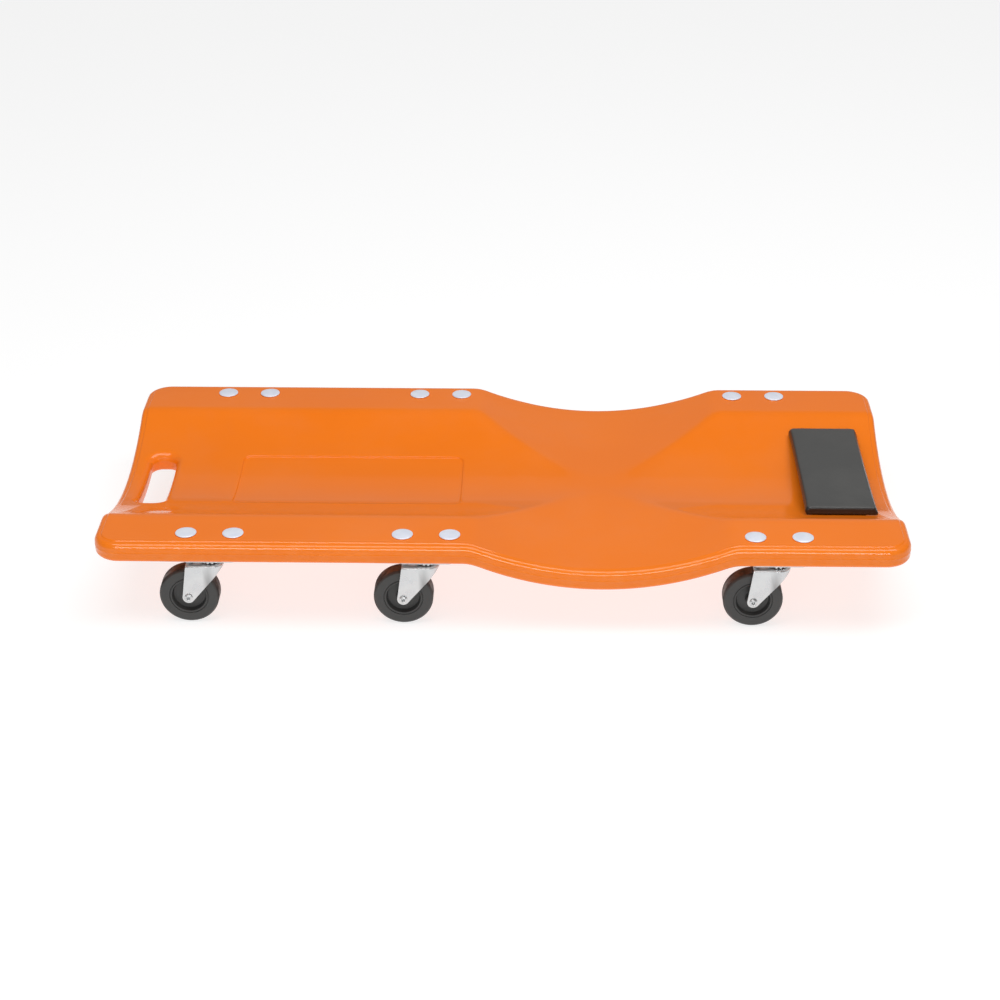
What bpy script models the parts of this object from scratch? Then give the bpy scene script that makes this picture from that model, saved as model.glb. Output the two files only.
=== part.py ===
"""Mechanics creeper: a blow-moulded deck on six swivel casters, with a padded headrest.

Metres, +Z up. +X runs towards the head end, +Y towards the right hand of someone lying on the deck.
The origin is on the floor, under the middle of the deck.
"""

import math

import bpy
import bmesh
from mathutils import Matrix, Vector

# ---------------------------------------------------------------- deck
DECK_LENGTH = 1.016
DECK_WIDTH = 0.470
DECK_THICKNESS = 0.027
DECK_CORNER_RADIUS = 0.033
RIM_RADIUS = 0.009
WALL = 0.003

RAIL_WIDTH = 0.081  # the flat side rails, from the trough to the deck's edge
DIP_CENTRE = 0.125  # the deck sinks between shoulder and hip, rails included
DIP_HALF_LENGTH = 0.163
SINK_DEPTH = 0.035  # trough and dip are equally deep, and meet in an X of creases
SINK_LEVELS = 5  # facets from the lowest line of the trough to its edge

SLOT_CENTRE_FROM_END = 0.0445
SLOT_WIDTH = 0.034
SLOT_LENGTH = 0.132
SLOT_CORNER_RADIUS = 0.013

BLOW_HOLE_RADIUS = 0.004  # left by the blow pin, under the foot end
BLOW_HOLE_X = -0.300

# ---------------------------------------------------------------- casters
FOOT_CASTER_FROM_END = 0.1445
MIDDLE_CASTER_FROM_DIP = 0.0557
HEAD_CASTER_FROM_END = 0.1638
SIDES = {"left": -1, "right": 1}
CASTER_FROM_EDGE = 0.030
BOLT_SPACING = 0.0588

PLATE_LENGTH = 0.0715
PLATE_WIDTH = 0.045
PLATE_THICKNESS = 0.0022
PLATE_CORNER_RADIUS = 0.009
BOSS_RADIUS = 0.0145  # the pressed boss that the bearing balls run on
BOSS_DEPTH = 0.0035
BOSS_DRAFT = 0.0015
BALL_DIAMETER = 0.0048

KINGPIN_RADIUS = 0.0045
KINGPIN_HEAD_RADIUS = 0.0085
KINGPIN_HEAD_HEIGHT = 0.0022

WHEEL_RADIUS = 0.0375
WHEEL_TRAIL = 0.0293  # swivel axis to wheel axle, level
TYRE_WIDTH = 0.0236
TREAD_WIDTH = 0.0176
SHOULDER_DROP = 0.0023
HUB_RIM_RADIUS = 0.0210
HUB_RECESS_DEPTH = 0.0063
HUB_RECESS_DRAFT = 0.0020
HUB_BOSS_RADIUS = 0.0085
HUB_STANDS_OUT = 0.0012  # the hub boss beyond each side of the tyre
HUB_TO_FORK = 0.0015

FORK_THICKNESS = 0.0020
CROWN_BEYOND_LEGS = 0.0003  # the round crown's radius beyond the legs' outer faces
FORK_PINCH_ANGLE = math.radians(115)  # where the legs leave the round crown
FORK_PINCH_LENGTH = 0.0055
FORK_TIP_RADIUS = 0.0075
FORK_BACK_FROM_AXLE = 0.0010  # the leg's wheel side, level with the crown

AXLE_RADIUS = 0.0030
AXLE_HEAD_RADIUS = 0.0048
AXLE_HEAD_HEIGHT = 0.0018

# ---------------------------------------------------------------- fasteners
BOLT_RADIUS = 0.0030
BOLT_HEAD_RADIUS = 0.0127
BOLT_HEAD_HEIGHT = 0.0024
BOLT_BEYOND_NUT = 0.0012
NUT_ACROSS_FLATS = 0.0110
NUT_HEIGHT = 0.0052

# ---------------------------------------------------------------- headrest
CUSHION_CENTRE_FROM_END = 0.0755
CUSHION_LENGTH = 0.093
CUSHION_FROM_RAIL = 0.045
CUSHION_HEIGHT = 0.0125
CUSHION_TAPER = 0.005
CUSHION_CORNER_RADIUS = 0.008
CUSHION_CROWN = 0.002
CUSHION_TOP_BELOW_RAIL = 0.0045
BOARD_THICKNESS = 0.003
BOARD_INSET = 0.011
SEAT_INSET = 0.009  # the moulded seat under the board, in from the cushion's edge
SEAT_DRAFT = 0.006
SCREW_SPACING = 0.120
SCREW_RADIUS = 0.0020
SCREW_HEAD_RADIUS = 0.0045
SCREW_HEAD_HEIGHT = 0.0028
WELL_RADIUS = 0.009  # the screws go in through wells in the underside
WELL_ROOF = 0.004

# ---------------------------------------------------------------- clearances
GAP = 0.0003  # between pieces that touch
BOLT_CLEARANCE = 0.0005
THREAD_GAP = 0.0004
RUNNING_CLEARANCE = 0.0006  # axle in hub, kingpin in fork
WHEEL_TO_CROWN = 0.0062
NUT_TO_FORK = 0.0016

# ---------------------------------------------------------------- derived places
CROWN_BOTTOM = 2 * WHEEL_RADIUS + WHEEL_TO_CROWN
FORK_TOP = CROWN_BOTTOM + FORK_THICKNESS
BOSS_BOTTOM = FORK_TOP + BALL_DIAMETER
BOLT_TIP = FORK_TOP + NUT_TO_FORK
PLATE_BOTTOM = max(BOLT_TIP + BOLT_BEYOND_NUT + NUT_HEIGHT + GAP, BOSS_BOTTOM + BOSS_DEPTH)
PLATE_TOP = PLATE_BOTTOM + PLATE_THICKNESS
DECK_UNDERSIDE = PLATE_TOP + GAP  # under the side rails
DECK_TOP = DECK_UNDERSIDE + DECK_THICKNESS
TROUGH_HALF_WIDTH = DECK_WIDTH / 2 - RAIL_WIDTH
CASTER_Y = DECK_WIDTH / 2 - CASTER_FROM_EDGE
CASTER_X = {
    "foot": -DECK_LENGTH / 2 + FOOT_CASTER_FROM_END,
    "middle": DIP_CENTRE - DIP_HALF_LENGTH - MIDDLE_CASTER_FROM_DIP,
    "head": DECK_LENGTH / 2 - HEAD_CASTER_FROM_END,
}
FORK_HALF_GAP = TYRE_WIDTH / 2 + HUB_STANDS_OUT + HUB_TO_FORK
FORK_HALF_WIDTH = FORK_HALF_GAP + FORK_THICKNESS
FORK_CROWN_RADIUS = FORK_HALF_WIDTH + CROWN_BEYOND_LEGS
SLOT_X = -DECK_LENGTH / 2 + SLOT_CENTRE_FROM_END
CUSHION_X = DECK_LENGTH / 2 - CUSHION_CENTRE_FROM_END
CUSHION_WIDTH = 2 * (TROUGH_HALF_WIDTH - CUSHION_FROM_RAIL)
CUSHION_TOP = DECK_TOP - CUSHION_TOP_BELOW_RAIL
CUSHION_BOTTOM = CUSHION_TOP - CUSHION_HEIGHT
BOARD_TOP = CUSHION_BOTTOM - GAP
BOARD_BOTTOM = BOARD_TOP - BOARD_THICKNESS
SEAT_TOP = BOARD_BOTTOM - GAP

THROUGH = 0.2  # half length of a cutter that goes right through
ROUND_SEGMENTS = 16
WHEEL_SEGMENTS = 28


# ================================================================ scene helpers
def clear_scene():
    for item in list(bpy.data.objects):
        bpy.data.objects.remove(item, do_unlink=True)


def make_material(name, colour, roughness, metallic=0.0):
    material = bpy.data.materials.new(name)
    material.use_nodes = True
    shader = material.node_tree.nodes["Principled BSDF"]
    shader.inputs["Base Color"].default_value = (*colour, 1.0)
    shader.inputs["Roughness"].default_value = roughness
    shader.inputs["Metallic"].default_value = metallic
    material.diffuse_color = (*colour, 1.0)
    return material


def add_object(name, mesh, place=(0, 0, 0), material=None, parent=None):
    item = bpy.data.objects.new(name, mesh)
    bpy.context.scene.collection.objects.link(item)
    item.location = place
    item.parent = parent
    if material and not mesh.materials:
        mesh.materials.append(material)
    return item


def add_empty(name, place, parent=None):
    empty = bpy.data.objects.new(name, None)
    bpy.context.scene.collection.objects.link(empty)
    empty.location = place
    empty.parent = parent
    empty.empty_display_size = 0.02
    return empty


def mesh_from(name, points, faces):
    mesh = bpy.data.meshes.new(name)
    mesh.from_pydata([tuple(p) for p in points], [], faces)
    mesh.update()
    return mesh


def shade_round(mesh, sharp_degrees=30):
    mesh.shade_smooth()
    mesh.set_sharp_from_angle(angle=math.radians(sharp_degrees))
    return mesh


def combined(name, base, steps):
    """The mesh of base after Boolean steps, each (operation, cutter mesh)."""
    body = add_object(name + "_blank", base)
    tools = []
    for number, (operation, mesh) in enumerate(steps):
        tool = add_object(f"{name}_tool_{number}", mesh)
        tool.hide_render = True
        tool.display_type = "WIRE"
        modifier = body.modifiers.new(operation.lower(), "BOOLEAN")
        modifier.operation = operation
        modifier.solver = "EXACT"
        modifier.object = tool
        tools.append(tool)
    bpy.context.view_layer.update()
    graph = bpy.context.evaluated_depsgraph_get()
    mesh = bpy.data.meshes.new_from_object(body.evaluated_get(graph))
    mesh.name = name
    for item in [body, *tools]:
        bpy.data.objects.remove(item, do_unlink=True)
    return mesh


def joined(name, meshes):
    """Several separate meshes as one, for a cutter with many bodies."""
    build = bmesh.new()
    for mesh in meshes:
        build.from_mesh(mesh)
    result = bpy.data.meshes.new(name)
    build.to_mesh(result)
    build.free()
    return result


def moved(mesh, offset):
    copy = mesh.copy()
    copy.transform(Matrix.Translation(Vector(offset)))
    return copy


# ================================================================ shape helpers
def arc(centre, radius, start, end, steps):
    """Points on an arc in the plane, angles in radians, both ends included."""
    turn = (end - start) / steps
    return [
        (centre[0] + radius * math.cos(start + turn * i), centre[1] + radius * math.sin(start + turn * i))
        for i in range(steps + 1)
    ]


def rounded_rectangle(half_x, half_y, radius, steps=4):
    outline = []
    for quarter in range(4):
        sign_x = 1 if quarter in (0, 3) else -1
        sign_y = 1 if quarter in (0, 1) else -1
        centre = (sign_x * (half_x - radius), sign_y * (half_y - radius))
        start = quarter * math.pi / 2
        outline += arc(centre, radius, start, start + math.pi / 2, steps)
    return outline


def circle(radius, segments=ROUND_SEGMENTS):
    return arc((0, 0), radius, 0, 2 * math.pi, segments)[:-1]


def prism(name, bottom, top, low, high, centre=(0, 0)):
    """A closed solid between two outlines with as many points, at heights low and high."""
    count = len(bottom)
    points = [(x + centre[0], y + centre[1], low) for x, y in bottom]
    points += [(x + centre[0], y + centre[1], high) for x, y in top]
    faces = [tuple(reversed(range(count))), tuple(range(count, 2 * count))]
    for i in range(count):
        j = (i + 1) % count
        faces.append((i, j, count + j, count + i))
    return mesh_from(name, points, faces)


def straight_prism(name, outline, low, high, centre=(0, 0)):
    return prism(name, outline, outline, low, high, centre)


def turned(name, profile, segments=ROUND_SEGMENTS, closed=False):
    """A solid of revolution about Z from (radius, height) points, listed upwards on the outside.

    A closed profile is a ring with a bore. Otherwise the first and last points are on the axis.
    """
    points, rings = [], []
    for radius, height in profile:
        if radius == 0:
            rings.append([len(points)] * segments)
            points.append((0, 0, height))
            continue
        rings.append(list(range(len(points), len(points) + segments)))
        points += [(x, y, height) for x, y in circle(radius, segments)]
    pairs = list(zip(rings, rings[1:]))
    if closed:
        pairs.append((rings[-1], rings[0]))
    faces = []
    for lower, upper in pairs:
        for i in range(segments):
            j = (i + 1) % segments
            corners = [lower[i], lower[j], upper[j], upper[i]]
            faces.append(tuple(dict.fromkeys(corners)))
    return shade_round(mesh_from(name, points, faces))


# ================================================================ deck
def arc_sink(distance, half_span, depth=SINK_DEPTH):
    """Height, zero or below, of a round hollow at a distance from its lowest line."""
    if abs(distance) >= half_span:
        return 0.0
    radius = (half_span**2 + depth**2) / (2 * depth)
    return radius - depth - math.sqrt(radius**2 - distance**2)


def deck_surface(x, y):
    """Height of the deck's top: the lower of the long trough and the cross dip."""
    trough = arc_sink(y, TROUGH_HALF_WIDTH)
    dip = arc_sink(x - DIP_CENTRE, DIP_HALF_LENGTH)
    return DECK_TOP + min(trough, dip)


def level_distances(half_span, levels):
    """Distances at which a round hollow has climbed by the square steps that both hollows share."""
    radius = (half_span**2 + SINK_DEPTH**2) / (2 * SINK_DEPTH)
    climbs = [SINK_DEPTH * (i / levels) ** 2 for i in range(levels + 1)]
    return [math.sqrt(radius**2 - (radius - climb) ** 2) for climb in climbs]


def both_sides(distances):
    return sorted({sign * d for d in distances for sign in (-1, 1)})


def deck_body(name, inset, rim, rim_steps, levels):
    """A closed slab that follows the deck's surface, inset on every side by the same distance.

    The sheet's lines cross where trough and dip are equally low, so the creases run corner to corner.
    """
    half_x, half_y = DECK_LENGTH / 2 - inset - rim, DECK_WIDTH / 2 - inset - rim
    corner = DECK_CORNER_RADIUS - inset - rim
    bends = [corner * math.sin(math.radians(30 * i)) for i in range(4)]
    lines_y = both_sides(level_distances(TROUGH_HALF_WIDTH, levels) + [half_y - corner + b for b in bends])
    dip = [DIP_CENTRE + d for d in both_sides(level_distances(DIP_HALF_LENGTH, levels))]
    # two lines across the trough, one inboard of the foot casters and one short of the middle pair
    between = [CASTER_X["foot"] + PLATE_LENGTH, CASTER_X["middle"] - PLATE_LENGTH]
    lines_x = [-half_x, -half_x + 1.5 * corner, *between, *dip, half_x - 1.5 * corner, half_x]

    def place(i, j):
        x, y = lines_x[i], lines_y[j]
        into_corner = abs(y) - (half_y - corner)
        if i in (0, len(lines_x) - 1) and into_corner > 0:
            x = math.copysign(half_x - corner + math.sqrt(max(corner**2 - into_corner**2, 0)), x)
        return x, y

    def outward(x, y):
        over_x, over_y = abs(x) - (half_x - corner), abs(y) - (half_y - corner)
        if over_x > 0 and over_y > 0:
            way = Vector((math.copysign(over_x, x), math.copysign(over_y, y)))
            return way.normalized()
        return Vector((math.copysign(1, x), 0)) if over_x > over_y else Vector((0, math.copysign(1, y)))

    across, along = len(lines_y), len(lines_x)
    points, faces = [], []
    for drop in (inset, DECK_THICKNESS - inset):
        for i in range(along):
            for j in range(across):
                x, y = place(i, j)
                points.append((x, y, deck_surface(x, y) - drop))
    sheet = across * along
    for i in range(along - 1):
        for j in range(across - 1):
            a, b = i * across + j, (i + 1) * across + j
            rising = (lines_x[i] + lines_x[i + 1] - 2 * DIP_CENTRE) * (lines_y[j] + lines_y[j + 1]) > 0
            halves = [(a, b, b + 1), (a, b + 1, a + 1)] if rising else [(a, b, a + 1), (b, b + 1, a + 1)]
            for half in halves:
                faces.append(half)
                faces.append(tuple(sheet + k for k in reversed(half)))
    loop = [i * across for i in range(along)]
    loop += [(along - 1) * across + j for j in range(1, across)]
    loop += [i * across + across - 1 for i in reversed(range(along - 1))]
    loop += [j for j in reversed(range(1, across - 1))]
    quarter = [math.pi / 2 * i / rim_steps for i in range(1, rim_steps + 1)]
    profile = [(rim * math.sin(t), inset + rim * (1 - math.cos(t))) for t in quarter]
    profile += [(out, DECK_THICKNESS - drop) for out, drop in reversed(profile)]
    rings = [loop]
    for out, drop in profile:
        ring = []
        for k in loop:
            x, y, _ = points[k]
            way = outward(x, y)
            ring.append(len(points))
            points.append((x + out * way.x, y + out * way.y, deck_surface(x, y) - drop))
        rings.append(ring)
    rings.append([sheet + k for k in loop])
    for upper, lower in zip(rings, rings[1:]):
        for k in range(len(loop)):
            n = (k + 1) % len(loop)
            faces.append((upper[k], lower[k], lower[n], upper[n]))
    return mesh_from(name, points, faces)


def caster_places():
    for station, x in CASTER_X.items():
        for side, sign in SIDES.items():
            yield f"{station}_{side}", (x, sign * CASTER_Y)


def bolt_offsets():
    return {"front": BOLT_SPACING / 2, "rear": -BOLT_SPACING / 2}


def screw_places():
    return {side: (CUSHION_X, sign * SCREW_SPACING / 2) for side, sign in SIDES.items()}


def deck_mesh():
    """A hollow, double-walled moulding, solid where the casters bolt on."""
    low, high = 0.0, THROUGH
    slot = rounded_rectangle(SLOT_WIDTH / 2, SLOT_LENGTH / 2, SLOT_CORNER_RADIUS)
    sleeve = rounded_rectangle(SLOT_WIDTH / 2 + WALL, SLOT_LENGTH / 2 + WALL, SLOT_CORNER_RADIUS + WALL)
    pad = rounded_rectangle(PLATE_LENGTH / 2, PLATE_WIDTH / 2 - WALL, PLATE_CORNER_RADIUS, 2)
    fills = [straight_prism("slot_sleeve", sleeve, low, high, (SLOT_X, 0))]
    holes = [straight_prism("slot", slot, low, high, (SLOT_X, 0))]
    for _, (x, y) in caster_places():
        fills.append(straight_prism("caster_pad", pad, low, high, (x, y)))
        for offset in bolt_offsets().values():
            hole = circle(BOLT_RADIUS + BOLT_CLEARANCE, 10)
            holes.append(straight_prism("bolt_hole", hole, low, high, (x + offset, y)))
    for place in screw_places().values():
        fills.append(straight_prism("well_sleeve", circle(WELL_RADIUS + WALL, 12), low, high, place))
        holes.append(straight_prism("well", circle(WELL_RADIUS, 12), low, SEAT_TOP - WELL_ROOF, place))
    pilots = [
        straight_prism("screw_hole", circle(SCREW_RADIUS + THREAD_GAP, 8), low, high, place)
        for place in screw_places().values()
    ]
    middle = deck_surface(BLOW_HOLE_X, 0) - DECK_THICKNESS / 2
    holes.append(straight_prism("blow_hole", circle(BLOW_HOLE_RADIUS, 10), low, middle, (BLOW_HOLE_X, 0)))

    half_x, half_y = CUSHION_LENGTH / 2 - SEAT_INSET, CUSHION_WIDTH / 2 - BOARD_INSET - SEAT_INSET
    seat = prism(
        "seat",
        rounded_rectangle(half_x + SEAT_DRAFT, half_y + SEAT_DRAFT, CUSHION_CORNER_RADIUS, 2),
        rounded_rectangle(half_x, half_y, CUSHION_CORNER_RADIUS, 2),
        deck_surface(CUSHION_X, 0) - 2 * WALL / 3,
        SEAT_TOP,
        (CUSHION_X, 0),
    )
    cavity = combined(
        "deck_cavity",
        deck_body("cavity", WALL, RIM_RADIUS - WALL, 1, SINK_LEVELS - 1),
        [("DIFFERENCE", joined("fills", fills))],
    )
    outside = deck_body("deck_outside", 0.0, RIM_RADIUS, 3, SINK_LEVELS)
    steps = [
        ("UNION", seat),
        ("DIFFERENCE", cavity),
        ("DIFFERENCE", joined("holes", holes)),
        ("DIFFERENCE", joined("pilots", pilots)),
    ]
    return combined("deck", outside, steps)


# ================================================================ casters, about the swivel axis, at real heights
def plate_mesh():
    """A mounting plate with a boss pressed down for the ball race and a dimple above it."""
    outline = rounded_rectangle(PLATE_LENGTH / 2, PLATE_WIDTH / 2, PLATE_CORNER_RADIUS, 3)
    sheet = straight_prism("plate_sheet", outline, PLATE_BOTTOM, PLATE_TOP)
    boss = prism(
        "boss",
        circle(BOSS_RADIUS),
        circle(BOSS_RADIUS + BOSS_DRAFT),
        BOSS_BOTTOM,
        PLATE_TOP - PLATE_THICKNESS / 2,
    )
    dimple_floor = BOSS_BOTTOM + PLATE_THICKNESS
    inner = BOSS_RADIUS - PLATE_THICKNESS / 2
    dimple = prism("dimple", circle(inner), circle(inner + BOSS_DRAFT), dimple_floor, PLATE_TOP + PLATE_THICKNESS)
    holes = [straight_prism("pin_hole", circle(KINGPIN_RADIUS + GAP, 12), 0, THROUGH)]
    for offset in bolt_offsets().values():
        hole = circle(BOLT_RADIUS + BOLT_CLEARANCE, 10)
        holes.append(straight_prism("plate_hole", hole, 0, THROUGH, (offset, 0)))
    steps = [("UNION", boss), ("DIFFERENCE", dimple), ("DIFFERENCE", joined("plate_holes", holes))]
    return shade_round(combined("caster_plate", sheet, steps))


def kingpin_mesh():
    """The rivet that holds the fork to the plate and that the fork turns on."""
    head_bottom = BOSS_BOTTOM + PLATE_THICKNESS + GAP
    foot_top = CROWN_BOTTOM - GAP
    chamfer = KINGPIN_HEAD_HEIGHT / 3
    profile = [
        (0, foot_top - KINGPIN_HEAD_HEIGHT),
        (KINGPIN_HEAD_RADIUS - chamfer, foot_top - KINGPIN_HEAD_HEIGHT),
        (KINGPIN_HEAD_RADIUS, foot_top - KINGPIN_HEAD_HEIGHT + chamfer),
        (KINGPIN_HEAD_RADIUS, foot_top),
        (KINGPIN_RADIUS, foot_top),
        (KINGPIN_RADIUS, head_bottom),
        (KINGPIN_HEAD_RADIUS, head_bottom),
        (KINGPIN_HEAD_RADIUS - chamfer, min(head_bottom + KINGPIN_HEAD_HEIGHT, PLATE_TOP)),
        (0, min(head_bottom + KINGPIN_HEAD_HEIGHT, PLATE_TOP)),
    ]
    return turned("caster_kingpin", profile, 12)


def fork_plan(inward):
    """The fork seen from above, moved inwards by a distance: round over the crown, then two legs."""
    radius = FORK_CROWN_RADIUS - inward
    half = FORK_HALF_WIDTH - inward
    crown = arc((0, 0), radius, -FORK_PINCH_ANGLE, FORK_PINCH_ANGLE, 12)
    bend = crown[-1][0] - FORK_PINCH_LENGTH
    back = -WHEEL_TRAIL - WHEEL_RADIUS
    return [*crown, (bend, half), (back, half), (back, -half), (bend, -half)]


def fork_side():
    """The fork seen from the side: from the crown down to a round tip about the axle."""
    axle = Vector((-WHEEL_TRAIL, WHEEL_RADIUS))
    top = FORK_TOP + FORK_THICKNESS
    nose = Vector((FORK_CROWN_RADIUS + GAP, CROWN_BOTTOM))
    heel = Vector((axle.x - FORK_BACK_FROM_AXLE, FORK_TOP))

    def tangent_angle(point, side):
        way = point - axle
        return math.atan2(way.y, way.x) + side * math.acos(FORK_TIP_RADIUS / way.length)

    start = tangent_angle(heel, 1)
    end = tangent_angle(nose, -1) + 2 * math.pi
    tip = arc(axle, FORK_TIP_RADIUS, start, end, 8)
    return [(nose.x, top), (heel.x, top), *tip, tuple(nose)]


def fork_mesh():
    """A stamped fork: a crown plate with a skirt that runs down on both sides into the legs."""
    outer = straight_prism("fork_outer", fork_plan(0), 0, FORK_TOP)
    inner = straight_prism("fork_inner", fork_plan(FORK_THICKNESS), -THROUGH, CROWN_BOTTOM)
    side = straight_prism("fork_side", fork_side(), -THROUGH, THROUGH)
    side.transform(Matrix.Rotation(math.pi / 2, 4, "X"))
    axle_hole = straight_prism("axle_hole", circle(AXLE_RADIUS + GAP, 10), -THROUGH, THROUGH)
    axle_hole.transform(Matrix.Rotation(math.pi / 2, 4, "X"))
    axle_hole.transform(Matrix.Translation((-WHEEL_TRAIL, 0, WHEEL_RADIUS)))
    pin_hole = straight_prism("fork_pin_hole", circle(KINGPIN_RADIUS + RUNNING_CLEARANCE, 12), 0, THROUGH)
    steps = [
        ("DIFFERENCE", inner),
        ("INTERSECT", side),
        ("DIFFERENCE", joined("fork_holes", [axle_hole, pin_hole])),
    ]
    return shade_round(combined("caster_fork", outer, steps))


def wheel_mesh():
    """A wheel about its own centre, turning about Y, with a recessed web and a bored hub."""
    half_hub = TYRE_WIDTH / 2 + HUB_STANDS_OUT
    half_web = TYRE_WIDTH / 2 - HUB_RECESS_DEPTH
    outer_half = [
        (AXLE_RADIUS + RUNNING_CLEARANCE, half_hub),
        (HUB_BOSS_RADIUS, half_hub),
        (HUB_BOSS_RADIUS, half_web),
        (HUB_RIM_RADIUS - HUB_RECESS_DRAFT, half_web),
        (HUB_RIM_RADIUS, TYRE_WIDTH / 2),
        (WHEEL_RADIUS - SHOULDER_DROP, TYRE_WIDTH / 2),
        (WHEEL_RADIUS, TREAD_WIDTH / 2),
    ]
    profile = [(radius, -side) for radius, side in outer_half]
    profile += [(radius, side) for radius, side in reversed(outer_half)]
    mesh = turned("caster_wheel", profile, WHEEL_SEGMENTS, closed=True)
    mesh.transform(Matrix.Rotation(-math.pi / 2, 4, "X"))
    return mesh


def axle_mesh():
    """A rivet through both fork legs and the hub, along Y, about its middle."""
    face = FORK_HALF_WIDTH + GAP
    half = [
        (0, face + AXLE_HEAD_HEIGHT),
        (AXLE_HEAD_RADIUS - AXLE_HEAD_HEIGHT / 2, face + AXLE_HEAD_HEIGHT),
        (AXLE_HEAD_RADIUS, face),
        (AXLE_RADIUS, face),
    ]
    profile = [(radius, -side) for radius, side in half]
    profile += [(radius, side) for radius, side in reversed(half)]
    mesh = turned("caster_axle", profile, 12)
    mesh.transform(Matrix.Rotation(-math.pi / 2, 4, "X"))
    return mesh


# ================================================================ fasteners
def bolt_mesh():
    """A belt bolt with a wide, low head on the rail."""
    seat = DECK_TOP + GAP
    profile = [
        (0, BOLT_TIP),
        (BOLT_RADIUS, BOLT_TIP),
        (BOLT_RADIUS, seat),
        (BOLT_HEAD_RADIUS, seat),
        (BOLT_HEAD_RADIUS, seat + BOLT_HEAD_HEIGHT / 3),
        (BOLT_HEAD_RADIUS * 0.75, seat + BOLT_HEAD_HEIGHT * 0.8),
        (0, seat + BOLT_HEAD_HEIGHT),
    ]
    return turned("bolt", profile, 14)


def nut_mesh():
    top = PLATE_BOTTOM - GAP
    hexagon = circle(NUT_ACROSS_FLATS / 2 / math.cos(math.pi / 6), 6)
    body = straight_prism("nut_body", hexagon, top - NUT_HEIGHT, top)
    bore = straight_prism("nut_bore", circle(BOLT_RADIUS + THREAD_GAP, 12), 0, THROUGH)
    return combined("nut", body, [("DIFFERENCE", bore)])


def screw_mesh():
    """A screw that goes up through the well's roof and the seat into the board."""
    seat = SEAT_TOP - WELL_ROOF - GAP
    profile = [
        (0, seat - SCREW_HEAD_HEIGHT),
        (SCREW_HEAD_RADIUS * 0.7, seat - SCREW_HEAD_HEIGHT),
        (SCREW_HEAD_RADIUS, seat - SCREW_HEAD_HEIGHT / 2),
        (SCREW_HEAD_RADIUS, seat),
        (SCREW_RADIUS, seat),
        (SCREW_RADIUS, BOARD_TOP - SCREW_RADIUS),
        (0, BOARD_TOP - GAP),
    ]
    return turned("headrest_screw", profile, 12)


# ================================================================ headrest
def board_mesh():
    half_x, half_y = CUSHION_LENGTH / 2 - BOARD_INSET, CUSHION_WIDTH / 2 - BOARD_INSET
    outline = rounded_rectangle(half_x, half_y, CUSHION_CORNER_RADIUS, 3)
    sheet = straight_prism("board_sheet", outline, BOARD_BOTTOM, BOARD_TOP, (CUSHION_X, 0))
    holes = [
        straight_prism("board_hole", circle(SCREW_RADIUS + THREAD_GAP, 10), 0, THROUGH, place)
        for place in screw_places().values()
    ]
    return combined("headrest_board", sheet, [("DIFFERENCE", joined("board_holes", holes))])


def cushion_mesh():
    """A plain padded block: sides that lean in, a bevelled shoulder and a slightly raised top."""
    half_x, half_y = CUSHION_LENGTH / 2, CUSHION_WIDTH / 2
    shoulder = CUSHION_TAPER / 2
    layers = [
        (0.0, CUSHION_BOTTOM),
        (CUSHION_TAPER / 3, CUSHION_TOP - shoulder),
        (CUSHION_TAPER / 3 + shoulder, CUSHION_TOP),
        (CUSHION_TAPER * 3, CUSHION_TOP + CUSHION_CROWN),
    ]
    points, faces, rings = [], [], []
    for inset, height in layers:
        outline = rounded_rectangle(half_x - inset, half_y - inset, CUSHION_CORNER_RADIUS, 3)
        rings.append(range(len(points), len(points) + len(outline)))
        points += [(x + CUSHION_X, y, height) for x, y in outline]
    faces.append(tuple(reversed(rings[0])))
    faces.append(tuple(rings[-1]))
    for lower, upper in zip(rings, rings[1:]):
        for i in range(len(lower)):
            j = (i + 1) % len(lower)
            faces.append((lower[i], lower[j], upper[j], upper[i]))
    return mesh_from("headrest_cushion", points, faces)


# ================================================================ assembly
def build_caster(name, place, meshes, materials):
    """One caster with its bolts: empties on the swivel and wheel axes carry what turns."""
    x, y = place
    swivel = add_empty(f"{name}_swivel_axis", (x, y, 0))
    axle = add_empty(f"{name}_wheel_axis", (-WHEEL_TRAIL, 0, WHEEL_RADIUS), swivel)
    steel = materials["zinc"]
    add_object(f"{name}_caster_plate", meshes["plate"], (x, y, 0), steel)
    add_object(f"{name}_caster_kingpin", meshes["kingpin"], (x, y, 0), steel)
    add_object(f"{name}_caster_fork", meshes["fork"], (0, 0, 0), steel, swivel)
    add_object(f"{name}_caster_axle", meshes["axle"], (0, 0, 0), steel, axle)
    add_object(f"{name}_caster_wheel", meshes["wheel"], (0, 0, 0), materials["wheel"], axle)
    for end, offset in bolt_offsets().items():
        add_object(f"{name}_bolt_{end}", meshes["bolt"], (x + offset, y, 0), materials["bolt"])
        add_object(f"{name}_nut_{end}", meshes["nut"], (x + offset, y, 0), steel)


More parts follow.
